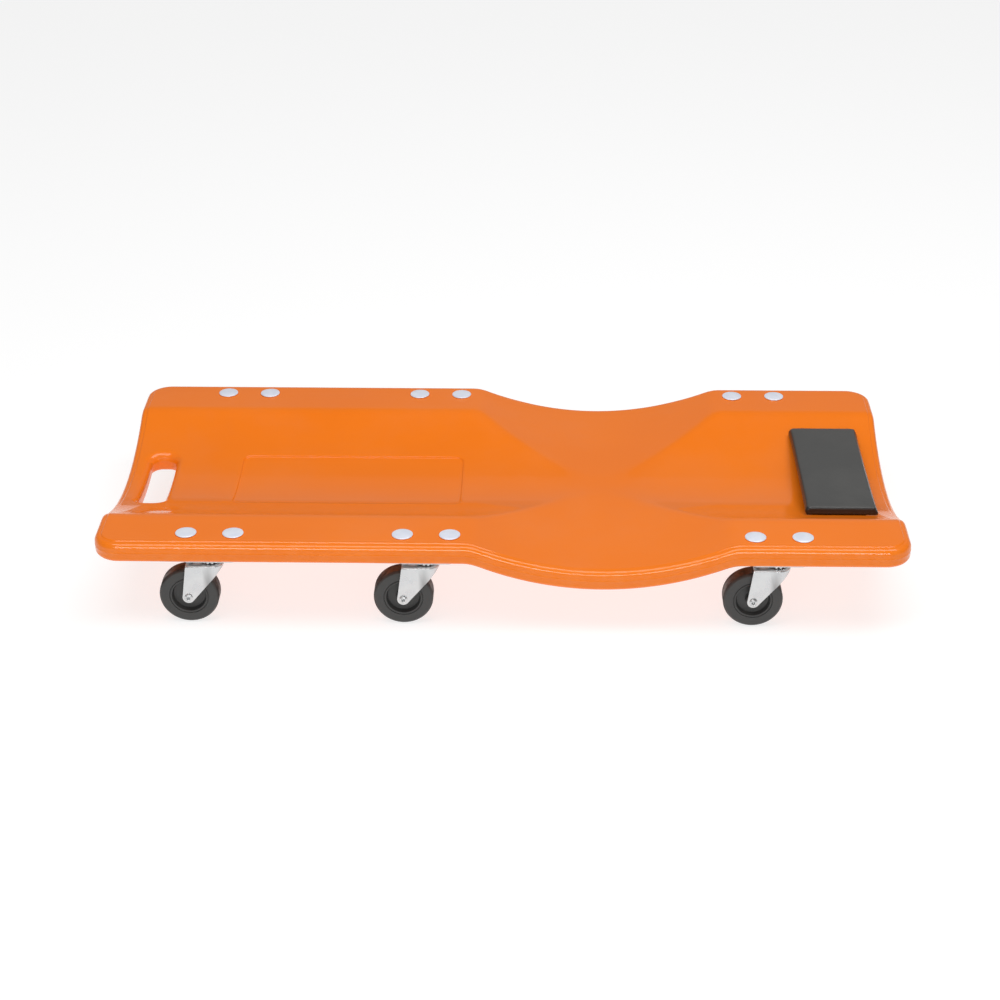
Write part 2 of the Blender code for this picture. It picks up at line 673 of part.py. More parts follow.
def main():
    clear_scene()
    materials = {
        "deck": make_material("orange_plastic", (0.84, 0.19, 0.02), 0.38),
        "zinc": make_material("zinc_plated_steel", (0.62, 0.62, 0.64), 0.35, 1.0),
        "bolt": make_material("bright_plated_steel", (0.80, 0.80, 0.84), 0.25, 1.0),
        "wheel": make_material("dark_grey_wheel", (0.06, 0.06, 0.058), 0.55),
        "vinyl": make_material("charcoal_vinyl", (0.09, 0.09, 0.088), 0.5),
        "board": make_material("black_board", (0.03, 0.03, 0.03), 0.7),
    }
    add_object("deck", deck_mesh(), material=materials["deck"])
    add_object("headrest_board", board_mesh(), material=materials["board"])
    add_object("headrest_cushion", cushion_mesh(), material=materials["vinyl"])
    screw = screw_mesh()
    for side, (x, y) in screw_places().items():
        add_object(f"headrest_screw_{side}", screw, (x, y, 0), materials["zinc"])
    meshes = {
        "plate": plate_mesh(),
        "kingpin": kingpin_mesh(),
        "fork": fork_mesh(),
        "axle": axle_mesh(),
        "wheel": wheel_mesh(),
        "bolt": bolt_mesh(),
        "nut": nut_mesh(),
    }
    for name, place in caster_places():
        build_caster(name, place, meshes, materials)


main()
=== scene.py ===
"""Mechanics creeper: its finished surfaces, built round the frame of working parts.

Metres, +Z up, +X towards the headrest. Every piece is made at its place in the frame.
"""

import math

import bmesh
import bpy
from mathutils import Matrix, Vector


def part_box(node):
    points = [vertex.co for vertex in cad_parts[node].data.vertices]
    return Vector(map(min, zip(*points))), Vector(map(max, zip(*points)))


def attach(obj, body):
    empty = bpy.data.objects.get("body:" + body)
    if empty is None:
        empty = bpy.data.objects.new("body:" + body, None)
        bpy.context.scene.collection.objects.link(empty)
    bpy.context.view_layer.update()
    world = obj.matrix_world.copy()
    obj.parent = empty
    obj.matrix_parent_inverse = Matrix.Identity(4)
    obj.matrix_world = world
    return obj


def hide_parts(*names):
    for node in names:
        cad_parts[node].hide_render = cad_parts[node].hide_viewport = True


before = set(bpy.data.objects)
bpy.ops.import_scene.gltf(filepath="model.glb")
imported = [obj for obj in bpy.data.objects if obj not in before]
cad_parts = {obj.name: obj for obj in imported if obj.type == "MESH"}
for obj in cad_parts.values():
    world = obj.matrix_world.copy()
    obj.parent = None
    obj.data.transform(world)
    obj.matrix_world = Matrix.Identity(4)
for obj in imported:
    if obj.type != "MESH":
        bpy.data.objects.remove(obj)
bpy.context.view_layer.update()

# ---------------------------------------------------------------- deck
DECK_THICKNESS = 0.027
TROUGH_HALF_WIDTH = 0.154
DIP_CENTRE = 0.125
DIP_HALF_LENGTH = 0.163
SINK_DEPTH = 0.035
RAIL_CREASE_SOFTNESS = 0.0030
DIP_CREASE_SOFTNESS = 0.0045
CROSSING_SOFTNESS = 0.0014

SHEET_STEP = 0.005
CORNER_RADIUS = 0.033
RIM_BAND = 0.0115  # the moulded border, from the edge to the plain sheet
RIM_STEP = 0.0012
RIM_RADIUS = 0.0075
RIM_FLAT = 0.0014  # a narrow flat half way round the rim
RIM_FLAT_TILT = math.radians(26)
SEAM_PROUD = 0.0003

SLOT_FROM_END = 0.0445
SLOT_HALF = (0.017, 0.067)
SLOT_CORNER = 0.013
SLOT_LIP = 0.010

PANEL_CENTRE = (-0.206, 0.0)
PANEL_HALF = (0.149, 0.067)
PANEL_CORNER = 0.010
PANEL_DEPTH = 0.0018
PANEL_EDGE = 0.0009

SEAT_INSIDE_BOARD = (0.009, 0.020)  # how far the raised seat stays within the board's outline
SEAT_CORNER = 0.008
SEAT_SLOPE = 2.4
GAP = 0.0003

WELL_RADIUS = 0.009
WELL_ROOF = 0.004
BLOW_HOLE = (-0.300, 0.0)
BLOW_HOLE_RADIUS = 0.004
BLOW_HOLE_DEPTH = 0.012

# ---------------------------------------------------------------- casters
STATIONS = ("foot", "middle", "head")
SIDES = ("left", "right")
FORK_SHEET = 0.0020
FORK_BEND = 0.0030
FORK_PINCH_ANGLE = math.radians(101)
FORK_PINCH_LENGTH = 0.0070
FORK_TIP_RADIUS = 0.0075
FORK_BACK_FROM_AXLE = 0.0010
FORK_HALF_WIDTH = 0.0165
PLATE_SHEET = 0.0022
PLATE_CORNER = 0.009
BOSS_RADIUS = 0.0145
KINGPIN_RADIUS = 0.0045
KINGPIN_HEAD_RADIUS = 0.0085
AXLE_RADIUS = 0.0030
AXLE_HEAD_RADIUS = 0.0052
AXLE_HEAD_HEIGHT = 0.0018
AXLE_HOLE_RADIUS = 0.0033
PIN_HOLE_RADIUS = 0.0051
BALL_RADIUS = 0.0023
BALL_RING_RADIUS = 0.0115
BALL_COUNT = 14

# ---------------------------------------------------------------- fasteners and headrest
BOLT_RADIUS = 0.0030
BOLT_HEAD_HEIGHT = 0.0024
BOLT_RIM = 0.0005
THREAD_PITCH = 0.0010
THREAD_TURNS = 9
NUT_RING_RADIUS = 0.0038
SCREW_RADIUS = 0.0020
SCREW_HEAD_HEIGHT = 0.0025
CUSHION_CORNER = 0.002
CORNER_EAR = 0.002  # the seams stand out a little at the corners
COVER_STANDS_OUT = 0.007  # at the cushion's two ends
CUSHION_VOXEL = 0.004
STUFFING_PRESSURE = 4.0
STUFFING_FRAMES = 20
STUFFING_LARGEST_MOVE = 0.0012
HEADREST_X = 0.4325
EASED_EDGE = 0.0005

# ---------------------------------------------------------------- camera and light
CAMERA_PLACE = (0.0517, -2.5862, 1.4317)
CAMERA_YAW = -0.0224
CAMERA_PITCH = 0.4868
CAMERA_ROLL = -0.0028
CAMERA_LENS = 78.85
FLOOR_HALF = 40.0
FLOOR_HEIGHT = -0.0005
PAPER_SHADE = 0.30
PAPER_GLOW = 0.76
WORLD_STRENGTH = 0.24
LAMP_TARGET = (0, 0, 0.1)
# name, place, width and height, watts
LAMPS = (
    ("key", (0.2, -0.5, 2.5), (3.2, 1.1), 55),
    ("back_card", (0.0, 4.4, 1.9), (6.0, 2.0), 5),
    ("front_strip", (0.0, -3.4, 1.5), (3.5, 0.26), 29),
)


# ================================================================ small helpers
def arc(centre, radius, start, end, steps):
    turn = (end - start) / steps
    return [
        (centre[0] + radius * math.cos(start + turn * i), centre[1] + radius * math.sin(start + turn * i))
        for i in range(steps + 1)
    ]


def rounded_path(points, steps=5):
    """Points (a, b, fillet radius) as a path whose corners are rounded by arcs."""
    path = []
    for i, (a, b, radius) in enumerate(points):
        if radius == 0 or i in (0, len(points) - 1):
            path.append((a, b))
            continue
        here = Vector((a, b))
        back = (Vector(points[i - 1][:2]) - here).normalized()
        ahead = (Vector(points[i + 1][:2]) - here).normalized()
        half = back.angle(ahead) / 2
        reach = radius / math.tan(half)
        centre = here + (back + ahead).normalized() * (radius / math.sin(half))
        start, end = here + back * reach - centre, here + ahead * reach - centre
        swing = start.angle_signed(end)
        first = math.atan2(start.y, start.x)
        for k in range(steps + 1):
            angle = first - swing * k / steps
            path.append((centre.x + radius * math.cos(angle), centre.y + radius * math.sin(angle)))
    return path


def new_object(name, mesh, material=None):
    piece = bpy.data.objects.new(name, mesh)
    bpy.context.scene.collection.objects.link(piece)
    if material:
        mesh.materials.clear()
        mesh.materials.append(material)
    return piece


def mesh_of(name, points, faces):
    mesh = bpy.data.meshes.new(name)
    mesh.from_pydata([tuple(p) for p in points], [], faces)
    mesh.update()
    return mesh


def smooth(mesh, sharp_degrees=35):
    mesh.shade_smooth()
    mesh.set_sharp_from_angle(angle=math.radians(sharp_degrees))
    return mesh


def evaluated_mesh(piece, name):
    bpy.context.view_layer.update()
    graph = bpy.context.evaluated_depsgraph_get()
    mesh = bpy.data.meshes.new_from_object(piece.evaluated_get(graph))
    mesh.name = name
    return mesh


def combined(name, base, steps):
    """The mesh of base after Boolean steps, each (operation, cutter mesh)."""
    body = new_object(name + "_blank", base)
    tools = []
    for operation, mesh in steps:
        tool = new_object(name + "_tool", mesh)
        modifier = body.modifiers.new(operation, "BOOLEAN")
        modifier.operation = operation
        modifier.solver = "EXACT"
        modifier.object = tool
        tools.append(tool)
    mesh = evaluated_mesh(body, name)
    for item in [body, *tools]:
        bpy.data.objects.remove(item, do_unlink=True)
    return mesh


def bevelled(name, mesh, width):
    """The mesh with its sharp edges rounded."""
    blank = new_object(name + "_blank", mesh)
    modifier = blank.modifiers.new("round", "BEVEL")
    modifier.width = width
    modifier.segments = 2
    modifier.limit_method = "ANGLE"
    modifier.angle_limit = math.radians(38)
    modifier.harden_normals = False
    result = evaluated_mesh(blank, name)
    bpy.data.objects.remove(blank, do_unlink=True)
    return smooth(result, 50)


def moved(mesh, offset, name):
    copy = mesh.copy()
    copy.transform(Matrix.Translation(Vector(offset)))
    copy.name = name
    return copy


def stacked(name, rings):
    """A closed solid through rings of points that all have the same count."""
    count = len(rings[0])
    points = [p for ring in rings for p in ring]
    last = (len(rings) - 1) * count
    faces = [tuple(reversed(range(count))), tuple(range(last, last + count))]
    for level in range(len(rings) - 1):
        for i in range(count):
            j = (i + 1) % count
            a, b = level * count, (level + 1) * count
            faces.append((a + i, a + j, b + j, b + i))
    return mesh_of(name, points, faces)


def prism(name, outline, low, high):
    return stacked(name, [[(x, y, z) for x, y in outline] for z in (low, high)])


def circle(radius, segments=48):
    return arc((0, 0), radius, 0, 2 * math.pi, segments)[:-1]


def rounded_rectangle(half_x, half_y, radius, steps=8):
    outline = []
    for quarter in range(4):
        sign_x = 1 if quarter in (0, 3) else -1
        sign_y = 1 if quarter in (0, 1) else -1
        centre = (sign_x * (half_x - radius), sign_y * (half_y - radius))
        start = quarter * math.pi / 2
        outline += arc(centre, radius, start, start + math.pi / 2, steps)
    return outline


def eased_slab(name, half, corner, bottom, top, centre=(0, 0)):
    """A rounded rectangle's slab with eased top and bottom edges."""
    rings = []
    edge = EASED_EDGE
    for inset, height in ((edge, bottom), (0, bottom + edge), (0, top - edge), (edge, top)):
        outline = rounded_rectangle(half[0] - inset, half[1] - inset, corner - inset)
        rings.append([(x + centre[0], y + centre[1], height) for x, y in outline])
    return stacked(name, rings)


def turned(name, profile, segments=64, closed=False):
    """A solid of revolution about Z from (radius, height) points, listed upwards on the outside."""
    points, rings = [], []
    for radius, height in profile:
        if radius == 0:
            rings.append([len(points)] * segments)
            points.append((0, 0, height))
            continue
        rings.append(list(range(len(points), len(points) + segments)))
        points += [(x, y, height) for x, y in circle(radius, segments)]
    pairs = list(zip(rings, rings[1:]))
    if closed:
        pairs.append((rings[-1], rings[0]))
    faces = []
    for lower, upper in pairs:
        for i in range(segments):
            j = (i + 1) % segments
            corners = tuple(dict.fromkeys([lower[i], lower[j], upper[j], upper[i]]))
            if len(corners) > 2:
                faces.append(corners)
    return smooth(mesh_of(name, points, faces))


def along_y(mesh):
    """A mesh turned about Z, laid down so that its axis is Y."""
    mesh.transform(Matrix.Rotation(-math.pi / 2, 4, "X"))
    return mesh


def mark_wear_and_painted_light(mesh, amount):
    """Stores on every point a mark from 0 to 1: wear on the deck, a darker tread on the wheels, painted
    shade on the forks and painted light on the cushion's top.
    """
    mark = mesh.attributes.new("rubbed", "FLOAT", "POINT")
    for vert in mesh.vertices:
        mark.data[vert.index].value = amount(vert)
    return mesh


def centre_of(node):
    low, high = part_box(node)
    return (Vector(low) + Vector(high)) / 2


# ================================================================ deck
class Outline:
    """A rounded rectangle in plan: signed distance, outward direction and offsets."""

    def __init__(self, centre, half, corner):
        self.centre, self.half, self.corner = centre, half, corner

    def beyond(self, x, y):
        return (
            abs(x - self.centre[0]) - self.half[0] + self.corner,
            abs(y - self.centre[1]) - self.half[1] + self.corner,
        )

    def distance(self, x, y):
        over_x, over_y = self.beyond(x, y)
        return math.hypot(max(over_x, 0), max(over_y, 0)) + min(max(over_x, over_y), 0) - self.corner

    def outward(self, x, y):
        over_x, over_y = self.beyond(x, y)
        sign_x, sign_y = math.copysign(1, x - self.centre[0]), math.copysign(1, y - self.centre[1])
        if over_x > 0 and over_y > 0:
            return Vector((sign_x * over_x, sign_y * over_y)).normalized()
        return Vector((sign_x, 0)) if over_x > over_y else Vector((0, sign_y))

    def snapped(self, x, y):
        way = self.outward(x, y) * self.distance(x, y)
        return x - way.x, y - way.y

    def in_corner(self, x, y):
        return min(self.beyond(x, y)) > -1e-5

    def grown(self, by):
        half = (self.half[0] + by, self.half[1] + by)
        return Outline(self.centre, half, self.corner + by)


def smooth_min(a, b, softness):
    near = max(softness - abs(a - b), 0) / softness
    return min(a, b) - near * near * softness / 4


def ease(value, low, high):
    t = min(max((value - low) / (high - low), 0), 1)
    return t * t * (3 - 2 * t)


def hollow(distance, half_span):
    """A round hollow's height: zero at its half span, and rising beyond it."""
    radius = (half_span**2 + SINK_DEPTH**2) / (2 * SINK_DEPTH)
    return radius - SINK_DEPTH - math.sqrt(radius**2 - min(abs(distance), 0.9 * radius) ** 2)


class Deck:
    """The deck's places and the heights of its two faces."""

    def __init__(self):
        low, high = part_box("deck")
        self.top = high[2]
        self.half = (high[0], high[1])
        self.edge = Outline((0, 0), self.half, CORNER_RADIUS)
        self.sheet = self.edge.grown(-RIM_BAND)
        slot_x = -high[0] + SLOT_FROM_END
        self.slot = Outline((slot_x, 0), SLOT_HALF, SLOT_CORNER)
        self.slot_mouth = self.slot.grown(SLOT_LIP)
        self.panel = Outline(PANEL_CENTRE, PANEL_HALF, PANEL_CORNER)
        board_low, board_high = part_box("headrest_board")
        middle = centre_of("headrest_board")
        seat_half = [(board_high[i] - board_low[i]) / 2 - SEAT_INSIDE_BOARD[i] for i in range(2)]
        self.seat = Outline((middle.x, 0), seat_half, SEAT_CORNER)
        self.seat_top = board_low[2] - GAP
        self.wells = []
        for side in SIDES:
            place = centre_of(f"headrest_screw_{side}")
            self.wells.append(Outline((place.x, place.y), (WELL_RADIUS, WELL_RADIUS), WELL_RADIUS))
        self.blow_hole = Outline(BLOW_HOLE, (BLOW_HOLE_RADIUS, BLOW_HOLE_RADIUS), BLOW_HOLE_RADIUS)

    def surface(self, x, y):
        rail = smooth_min(0.0, hollow(y, TROUGH_HALF_WIDTH), RAIL_CREASE_SOFTNESS)
        dip = hollow(x - DIP_CENTRE, DIP_HALF_LENGTH)
        on_rail = ease(abs(y), TROUGH_HALF_WIDTH - 0.06, TROUGH_HALF_WIDTH)
        softness = CROSSING_SOFTNESS + (DIP_CREASE_SOFTNESS - CROSSING_SOFTNESS) * on_rail
        return self.top + smooth_min(rail, dip, softness)

    def upper(self, x, y):
        height = self.surface(x, y)
        height -= PANEL_DEPTH * (1 - ease(self.panel.distance(x, y), -PANEL_EDGE, PANEL_EDGE))
        rise = self.seat_top - SEAT_SLOPE * max(self.seat.distance(x, y), 0)
        return -smooth_min(-height, -rise, 0.0015) if self.seat.distance(x, y) < 0.012 else height

    def lower(self, x, y):
        return self.surface(x, y) - DECK_THICKNESS

    def step_fade(self, x):
        """The border's step is crisp on the rails and nearly gone in the dip."""
        return 0.25 + 0.75 * ease(abs(x - DIP_CENTRE), 0.6 * DIP_HALF_LENGTH, 1.05 * DIP_HALF_LENGTH)


def flat_sheet(outer, holes, step, fine=(), traced=()):
    """A flat grid inside an outline and outside its holes, finer or with traced lines where asked."""
    count = [round(2 * outer.half[i] / step) for i in range(2)]
    build = bmesh.new()
    grid = {}
    for i in range(count[0] + 1):
        for j in range(count[1] + 1):
            x = outer.half[0] * (2 * i / count[0] - 1)
            y = outer.half[1] * (2 * j / count[1] - 1)
            limits = [(outer, 1)] + [(hole, -1) for hole in holes]
            inside = True
            for outline, sign in limits:
                if abs(outline.distance(x, y)) < step / 2:
                    x, y = outline.snapped(x, y)
                elif outline.distance(x, y) * sign > 0:
                    inside = False
            for outline, _ in traced:
                if abs(outline.distance(x, y)) < step / 2:
                    x, y = outline.snapped(x, y)
            if inside:
                grid[i, j] = build.verts.new((x, y, 0))
    for i in range(count[0]):
        for j in range(count[1]):
            corners = [grid.get(key) for key in ((i, j), (i + 1, j), (i + 1, j + 1), (i, j + 1))]
            corners = [corner for corner in corners if corner]
            spans_hole = any(all(abs(hole.distance(*c.co.xy)) < 1e-6 for c in corners) for hole in holes)
            if len(corners) > 2 and not spans_hole:
                build.faces.new(corners)
    bmesh.ops.remove_doubles(build, verts=build.verts[:], dist=1e-5)
    bmesh.ops.dissolve_degenerate(build, edges=build.edges[:], dist=1e-6)
    for outline, width in traced:
        trace(build, outline, width)
    for test in fine:
        chosen = [e for e in build.edges if test(*((e.verts[0].co + e.verts[1].co) / 2).xy)]
        bmesh.ops.subdivide_edges(build, edges=chosen, cuts=2, use_grid_fill=True)
    many_sided = [face for face in build.faces if len(face.verts) > 4]
    bmesh.ops.triangulate(build, faces=many_sided)
    for outline in [outer, *holes]:
        rim = [e for e in build.edges if e.is_boundary and on_outline(e, outline)]
        made = bmesh.ops.subdivide_edges(build, edges=rim, cuts=2)
        for item in made["geom_inner"]:
            if isinstance(item, bmesh.types.BMVert):
                item.co.x, item.co.y = outline.snapped(item.co.x, item.co.y)
    return build


def trace(build, outline, width):
    """Turns the row of points that lie on an outline into a narrow strip along it."""

    def on_line(vert):
        return abs(outline.distance(*vert.co.xy)) < 2e-6

    def is_outside(face):
        return outline.distance(*face.calc_center_median().xy) > 0

    def line_edges():
        """The edges between what lies inside the outline and what lies outside it."""
        shared = [edge for edge in build.edges if all(on_line(vert) for vert in edge.verts)]
        return [edge for edge in shared if len({is_outside(face) for face in edge.link_faces}) == 2]

    for face in build.faces[:]:
        marked = [vert for vert in face.verts if on_line(vert)]
        if len(face.verts) == 4 and len(marked) == 2 and not shared_edge(*marked):
            bmesh.utils.face_split(face, *marked)
    rounded = [edge for edge in line_edges() if outline.in_corner(*edge.verts[0].co.xy)]
    made = bmesh.ops.subdivide_edges(build, edges=rounded, cuts=2)
    for item in made["geom_inner"]:
        if isinstance(item, bmesh.types.BMVert):
            item.co.x, item.co.y = outline.snapped(*item.co.xy)
    bmesh.ops.bevel(
        build,
        geom=line_edges(),
        offset=width,
        offset_type="OFFSET",
        segments=4,
        profile=0.5,
        affect="EDGES",
        clamp_overlap=False,
    )


def shared_edge(first, second):
    return any(edge.other_vert(first) is second for edge in first.link_edges)


def on_outline(edge, outline):
    """The edge lies on the outline, on one of its round corners."""
    ends = [vert.co for vert in edge.verts]
    near = all(abs(outline.distance(end.x, end.y)) < 1e-5 for end in ends)
    middle = (ends[0] + ends[1]) / 2
    return near and outline.in_corner(middle.x, middle.y)


def open_loops(build):
    """The sheet's open edges as rings of vertices in order."""
    rim = {edge for edge in build.edges if edge.is_boundary}
    loops = []
    while rim:
        edge = rim.pop()
        loop = [edge.verts[0], edge.verts[1]]
        while True:
            following = [e for e in loop[-1].link_edges if e in rim]
            if not following:
                break
            rim.discard(following[0])
            loop.append(following[0].other_vert(loop[-1]))
        loops.append(loop[:-1] if loop[0] is loop[-1] else loop)
    return loops


def border_profile():
    """(distance out of the sheet, drop) pairs from the sheet round the rim to the underside."""
    top_round = RIM_BAND - RIM_RADIUS
    side = RIM_BAND - SEAM_PROUD
    radius = RIM_RADIUS - SEAM_PROUD
    profile = [(0.0014, 0.0), (0.0018, 0.12), (0.0023, 0.5), (0.0028, 0.88), (0.0033, 1.0)]
    profile = [(out, share * RIM_STEP) for out, share in profile]
    along = Vector((math.sin(RIM_FLAT_TILT), math.cos(RIM_FLAT_TILT))) * RIM_FLAT
    upper = radius - along.x
    centre = Vector((top_round, RIM_STEP + upper))
    profile += arc(centre, upper, -math.pi / 2, -RIM_FLAT_TILT, 6)
    profile += [tuple(Vector(profile[-1]) + along * share) for share in (0.15, 0.85)]
    profile += arc(centre + along, upper, -RIM_FLAT_TILT, 0, 3)
    middle = DECK_THICKNESS / 2
    profile += [(side, middle - 0.0007), (RIM_BAND, middle - 0.0002)]
    profile += [(RIM_BAND, middle + 0.0002), (side, middle + 0.0007)]
    low = DECK_THICKNESS - radius
    for out, drop in arc((top_round, low), radius, 0, math.pi / 2, 8):
        profile.append((out, drop))
    return profile


def lip_profile():
    """(distance into the slot, drop) pairs from the top sheet through to the bottom one."""
    profile = arc((0, SLOT_LIP), SLOT_LIP, -math.pi / 2, 0, 6)[1:]
    profile += [(SLOT_LIP, DECK_THICKNESS * share) for share in (0.4, 0.5, 0.6)]
    profile += arc((0, DECK_THICKNESS - SLOT_LIP), SLOT_LIP, 0, math.pi / 2, 6)[:-1]
    return profile


def key_of(vert):
    return round(vert.co.x, 5), round(vert.co.y, 5)


def stitch(build, ring, following):
    for i in range(len(ring)):
        j = (i + 1) % len(ring)
        build.faces.new((ring[i], ring[j], following[j], following[i]))


def deck_mesh(deck):
    def near_seat(x, y):
        return 0.002 < deck.seat.distance(x, y) < 0.010

    traced = [(deck.panel, PANEL_EDGE), (deck.seat, 0.0010)]
    upper = flat_sheet(deck.sheet, [deck.slot_mouth], SHEET_STEP, [near_seat], traced)
    pits = [(well, deck.seat_top - WELL_ROOF) for well in deck.wells]
    pits.append((deck.blow_hole, deck.lower(*BLOW_HOLE) + BLOW_HOLE_DEPTH))
    holes = [deck.slot_mouth] + [pit.grown(0.0012) for pit, _ in pits]
    lower = flat_sheet(deck.sheet, holes, SHEET_STEP)

    build = bmesh.new()
    sheets = []
    for sheet, height in ((upper, deck.upper), (lower, deck.lower)):
        loops = open_loops(sheet)
        made = {v: build.verts.new((v.co.x, v.co.y, height(v.co.x, v.co.y))) for v in sheet.verts}
        for face in sheet.faces:
            build.faces.new([made[v] for v in face.verts])
        sheets.append([[made[v] for v in loop] for loop in loops])
        sheet.free()
    upper_loops, lower_loops = sheets
    landing = {key_of(v): v for loop in lower_loops for v in loop}

    for loop in upper_loops:
        inner = abs(deck.slot_mouth.distance(loop[0].co.x, loop[0].co.y)) < 1e-4
        outline = deck.slot_mouth if inner else deck.sheet
        profile = lip_profile() if inner else border_profile()
        ways = [outline.outward(v.co.x, v.co.y) * (-1 if inner else 1) for v in loop]
        previous = loop
        for out, drop in profile:
            ring = []
            for v, way in zip(loop, ways):
                x, y = v.co.x + way.x * out, v.co.y + way.y * out
                if inner:
                    z = deck.surface(x, y) - drop
                else:
                    step = RIM_STEP * (1 - deck.step_fade(v.co.x))
                    z = v.co.z - drop + step * min(drop / RIM_STEP, 1) * (drop < DECK_THICKNESS / 2)
                ring.append(build.verts.new((x, y, z)))
            stitch(build, previous, ring)
            previous = ring
        stitch(build, previous, [landing[key_of(v)] for v in loop])

    for loop in lower_loops:
        for pit, roof in pits:
            if abs(pit.grown(0.0012).distance(loop[0].co.x, loop[0].co.y)) > 1e-4:
                continue
            previous = loop
            for out, rise in ((0.0008, 0.0003), (0.0012, 0.0011), (0.0012, None)):
                ring = []
                for v in loop:
                    way = pit.outward(v.co.x, v.co.y) * -out
                    z = roof if rise is None else v.co.z + rise
                    ring.append(build.verts.new((v.co.x + way.x, v.co.y + way.y, z)))
                stitch(build, previous, ring)
                previous = ring
            build.faces.new(previous)
    bmesh.ops.recalc_face_normals(build, faces=build.faces[:])
    mesh = bpy.data.meshes.new("deck_shell")
    build.to_mesh(mesh)
    build.free()
    return smooth(mesh, 60)


def mark_edges(mesh, deck):
    """Marks the rim and the slot, which hands and shoes rub."""

    def near_edge(vert):
        x, y, _ = vert.co
        at_rim = ease(deck.edge.distance(x, y), -0.010, -0.001)
        at_slot = 1 - ease(abs(deck.slot.distance(x, y)), 0.0, 0.006)
        return max(at_rim, at_slot)

    mark_wear_and_painted_light(mesh, near_edge)


# ================================================================ casters
class Caster:
    """Where one caster's parts are, taken from its working parts."""

    def __init__(self, name):
        self.name = name
        plate = centre_of(f"{name}_caster_plate")
        wheel_low, wheel_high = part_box(f"{name}_caster_wheel")
        wheel = centre_of(f"{name}_caster_wheel")
        self.swivel = Vector((plate.x, plate.y, 0))
        self.wheel = wheel
        self.wheel_radius = (wheel_high[2] - wheel_low[2]) / 2
        self.trail = plate.x - wheel.x
        plate_low, plate_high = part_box(f"{name}_caster_plate")
        self.plate_top = plate_high[2]
        self.boss_bottom = plate_low[2]
        self.plate_half = [(plate_high[i] - plate_low[i]) / 2 for i in range(2)]
        fork_low, fork_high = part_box(f"{name}_caster_fork")
        self.fork_top = fork_high[2]
        self.crown_radius = (fork_high[1] - fork_low[1]) / 2
        axle_low, axle_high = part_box(f"{name}_caster_axle")
        self.axle_half = (axle_high[1] - axle_low[1]) / 2


def plate_mesh(caster):
    """A pressed plate: rounded edges, a drawn boss with a ball groove, and the dimple above it."""
    top, bottom = caster.plate_top, caster.plate_top - PLATE_SHEET
    sheet = eased_slab("plate_sheet", caster.plate_half, PLATE_CORNER, bottom, top)
    low = caster.boss_bottom
    boss = rounded_path(
        [
            (0, low, 0),
            (BOSS_RADIUS, low, 0.0012),
            (BOSS_RADIUS + 0.0012, bottom, 0.0012),
            (BOSS_RADIUS + 0.0030, bottom, 0),
            (BOSS_RADIUS + 0.0030, bottom + PLATE_SHEET / 2, 0),
            (0, bottom + PLATE_SHEET / 2, 0),
        ]
    )
    dimple = [(0, low + PLATE_SHEET), (BOSS_RADIUS - 0.0012, low + PLATE_SHEET)]
    dimple += [(BOSS_RADIUS + 0.0006, top + 0.001), (0, top + 0.001)]
    steps = [
        ("UNION", turned("boss", boss)),
        ("DIFFERENCE", turned("dimple", dimple)),
        ("DIFFERENCE", race_groove(caster)),
        ("DIFFERENCE", prism("pin_hole", circle(PIN_HOLE_RADIUS), 0, 0.2)),
    ]
    return smooth(combined("caster_plate", sheet, steps))


def ball_height(caster):
    return (caster.boss_bottom + caster.fork_top) / 2


def race_groove(caster):
    """A ring a little thicker than the balls, to cut their groove."""
    ring = arc((BALL_RING_RADIUS, ball_height(caster)), BALL_RADIUS + 0.0004, -math.pi, math.pi, 20)[:-1]
    return turned("race_groove", ring, closed=True)


def kingpin_mesh(caster):
    low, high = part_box(f"{caster.name}_caster_kingpin")
    foot_top = caster.fork_top - FORK_SHEET - GAP
    head_bottom = caster.boss_bottom + PLATE_SHEET + GAP
    profile = rounded_path(
        [
            (0, low[2], 0),
            (0.0052, low[2], 0.0016),
            (KINGPIN_HEAD_RADIUS, foot_top - 0.0008, 0.0006),
            (KINGPIN_HEAD_RADIUS, foot_top, 0),
            (KINGPIN_RADIUS, foot_top, 0),
            (KINGPIN_RADIUS, head_bottom, 0),
            (KINGPIN_HEAD_RADIUS, head_bottom, 0),
            (KINGPIN_HEAD_RADIUS - 0.0010, high[2], 0.0008),
            (0, high[2], 0),
        ]
    )
    return turned("caster_kingpin", profile)


def fork_plan(caster, inward):
    """The fork from above, moved inwards: round over the crown, pinched in, then two straight legs."""
    radius = caster.crown_radius - inward
    half = FORK_HALF_WIDTH - inward
    crown = arc((0, 0), radius, -FORK_PINCH_ANGLE, FORK_PINCH_ANGLE, 40)
    bend = crown[-1][0] - FORK_PINCH_LENGTH
    back = -caster.trail - caster.wheel_radius
    path = [(back, -half, 0), (bend, -half, 0.010), (*crown[0], 0.0022)]
    path += [(x, y, 0) for x, y in crown[1:-1]]
    path += [(*crown[-1], 0.0022), (bend, half, 0.010), (back, half, 0)]
    return rounded_path(path, 6)


def fork_side(caster):
    """The fork from the side: from the crown down to a round tip about the axle."""
    axle = Vector((-caster.trail, caster.wheel.z))
    top = caster.fork_top + FORK_SHEET
    nose = Vector((caster.crown_radius + GAP, caster.fork_top - FORK_SHEET))
    heel = Vector((axle.x - FORK_BACK_FROM_AXLE, caster.fork_top))

    def tangent_angle(point, side):
        way = point - axle
        return math.atan2(way.y, way.x) + side * math.acos(FORK_TIP_RADIUS / way.length)

    start = tangent_angle(heel, 1)
    end = tangent_angle(nose, -1) + 2 * math.pi
    tip = arc(axle, FORK_TIP_RADIUS, start, end, 40)
    return [(nose.x, top), (heel.x, top), *tip, tuple(nose)]


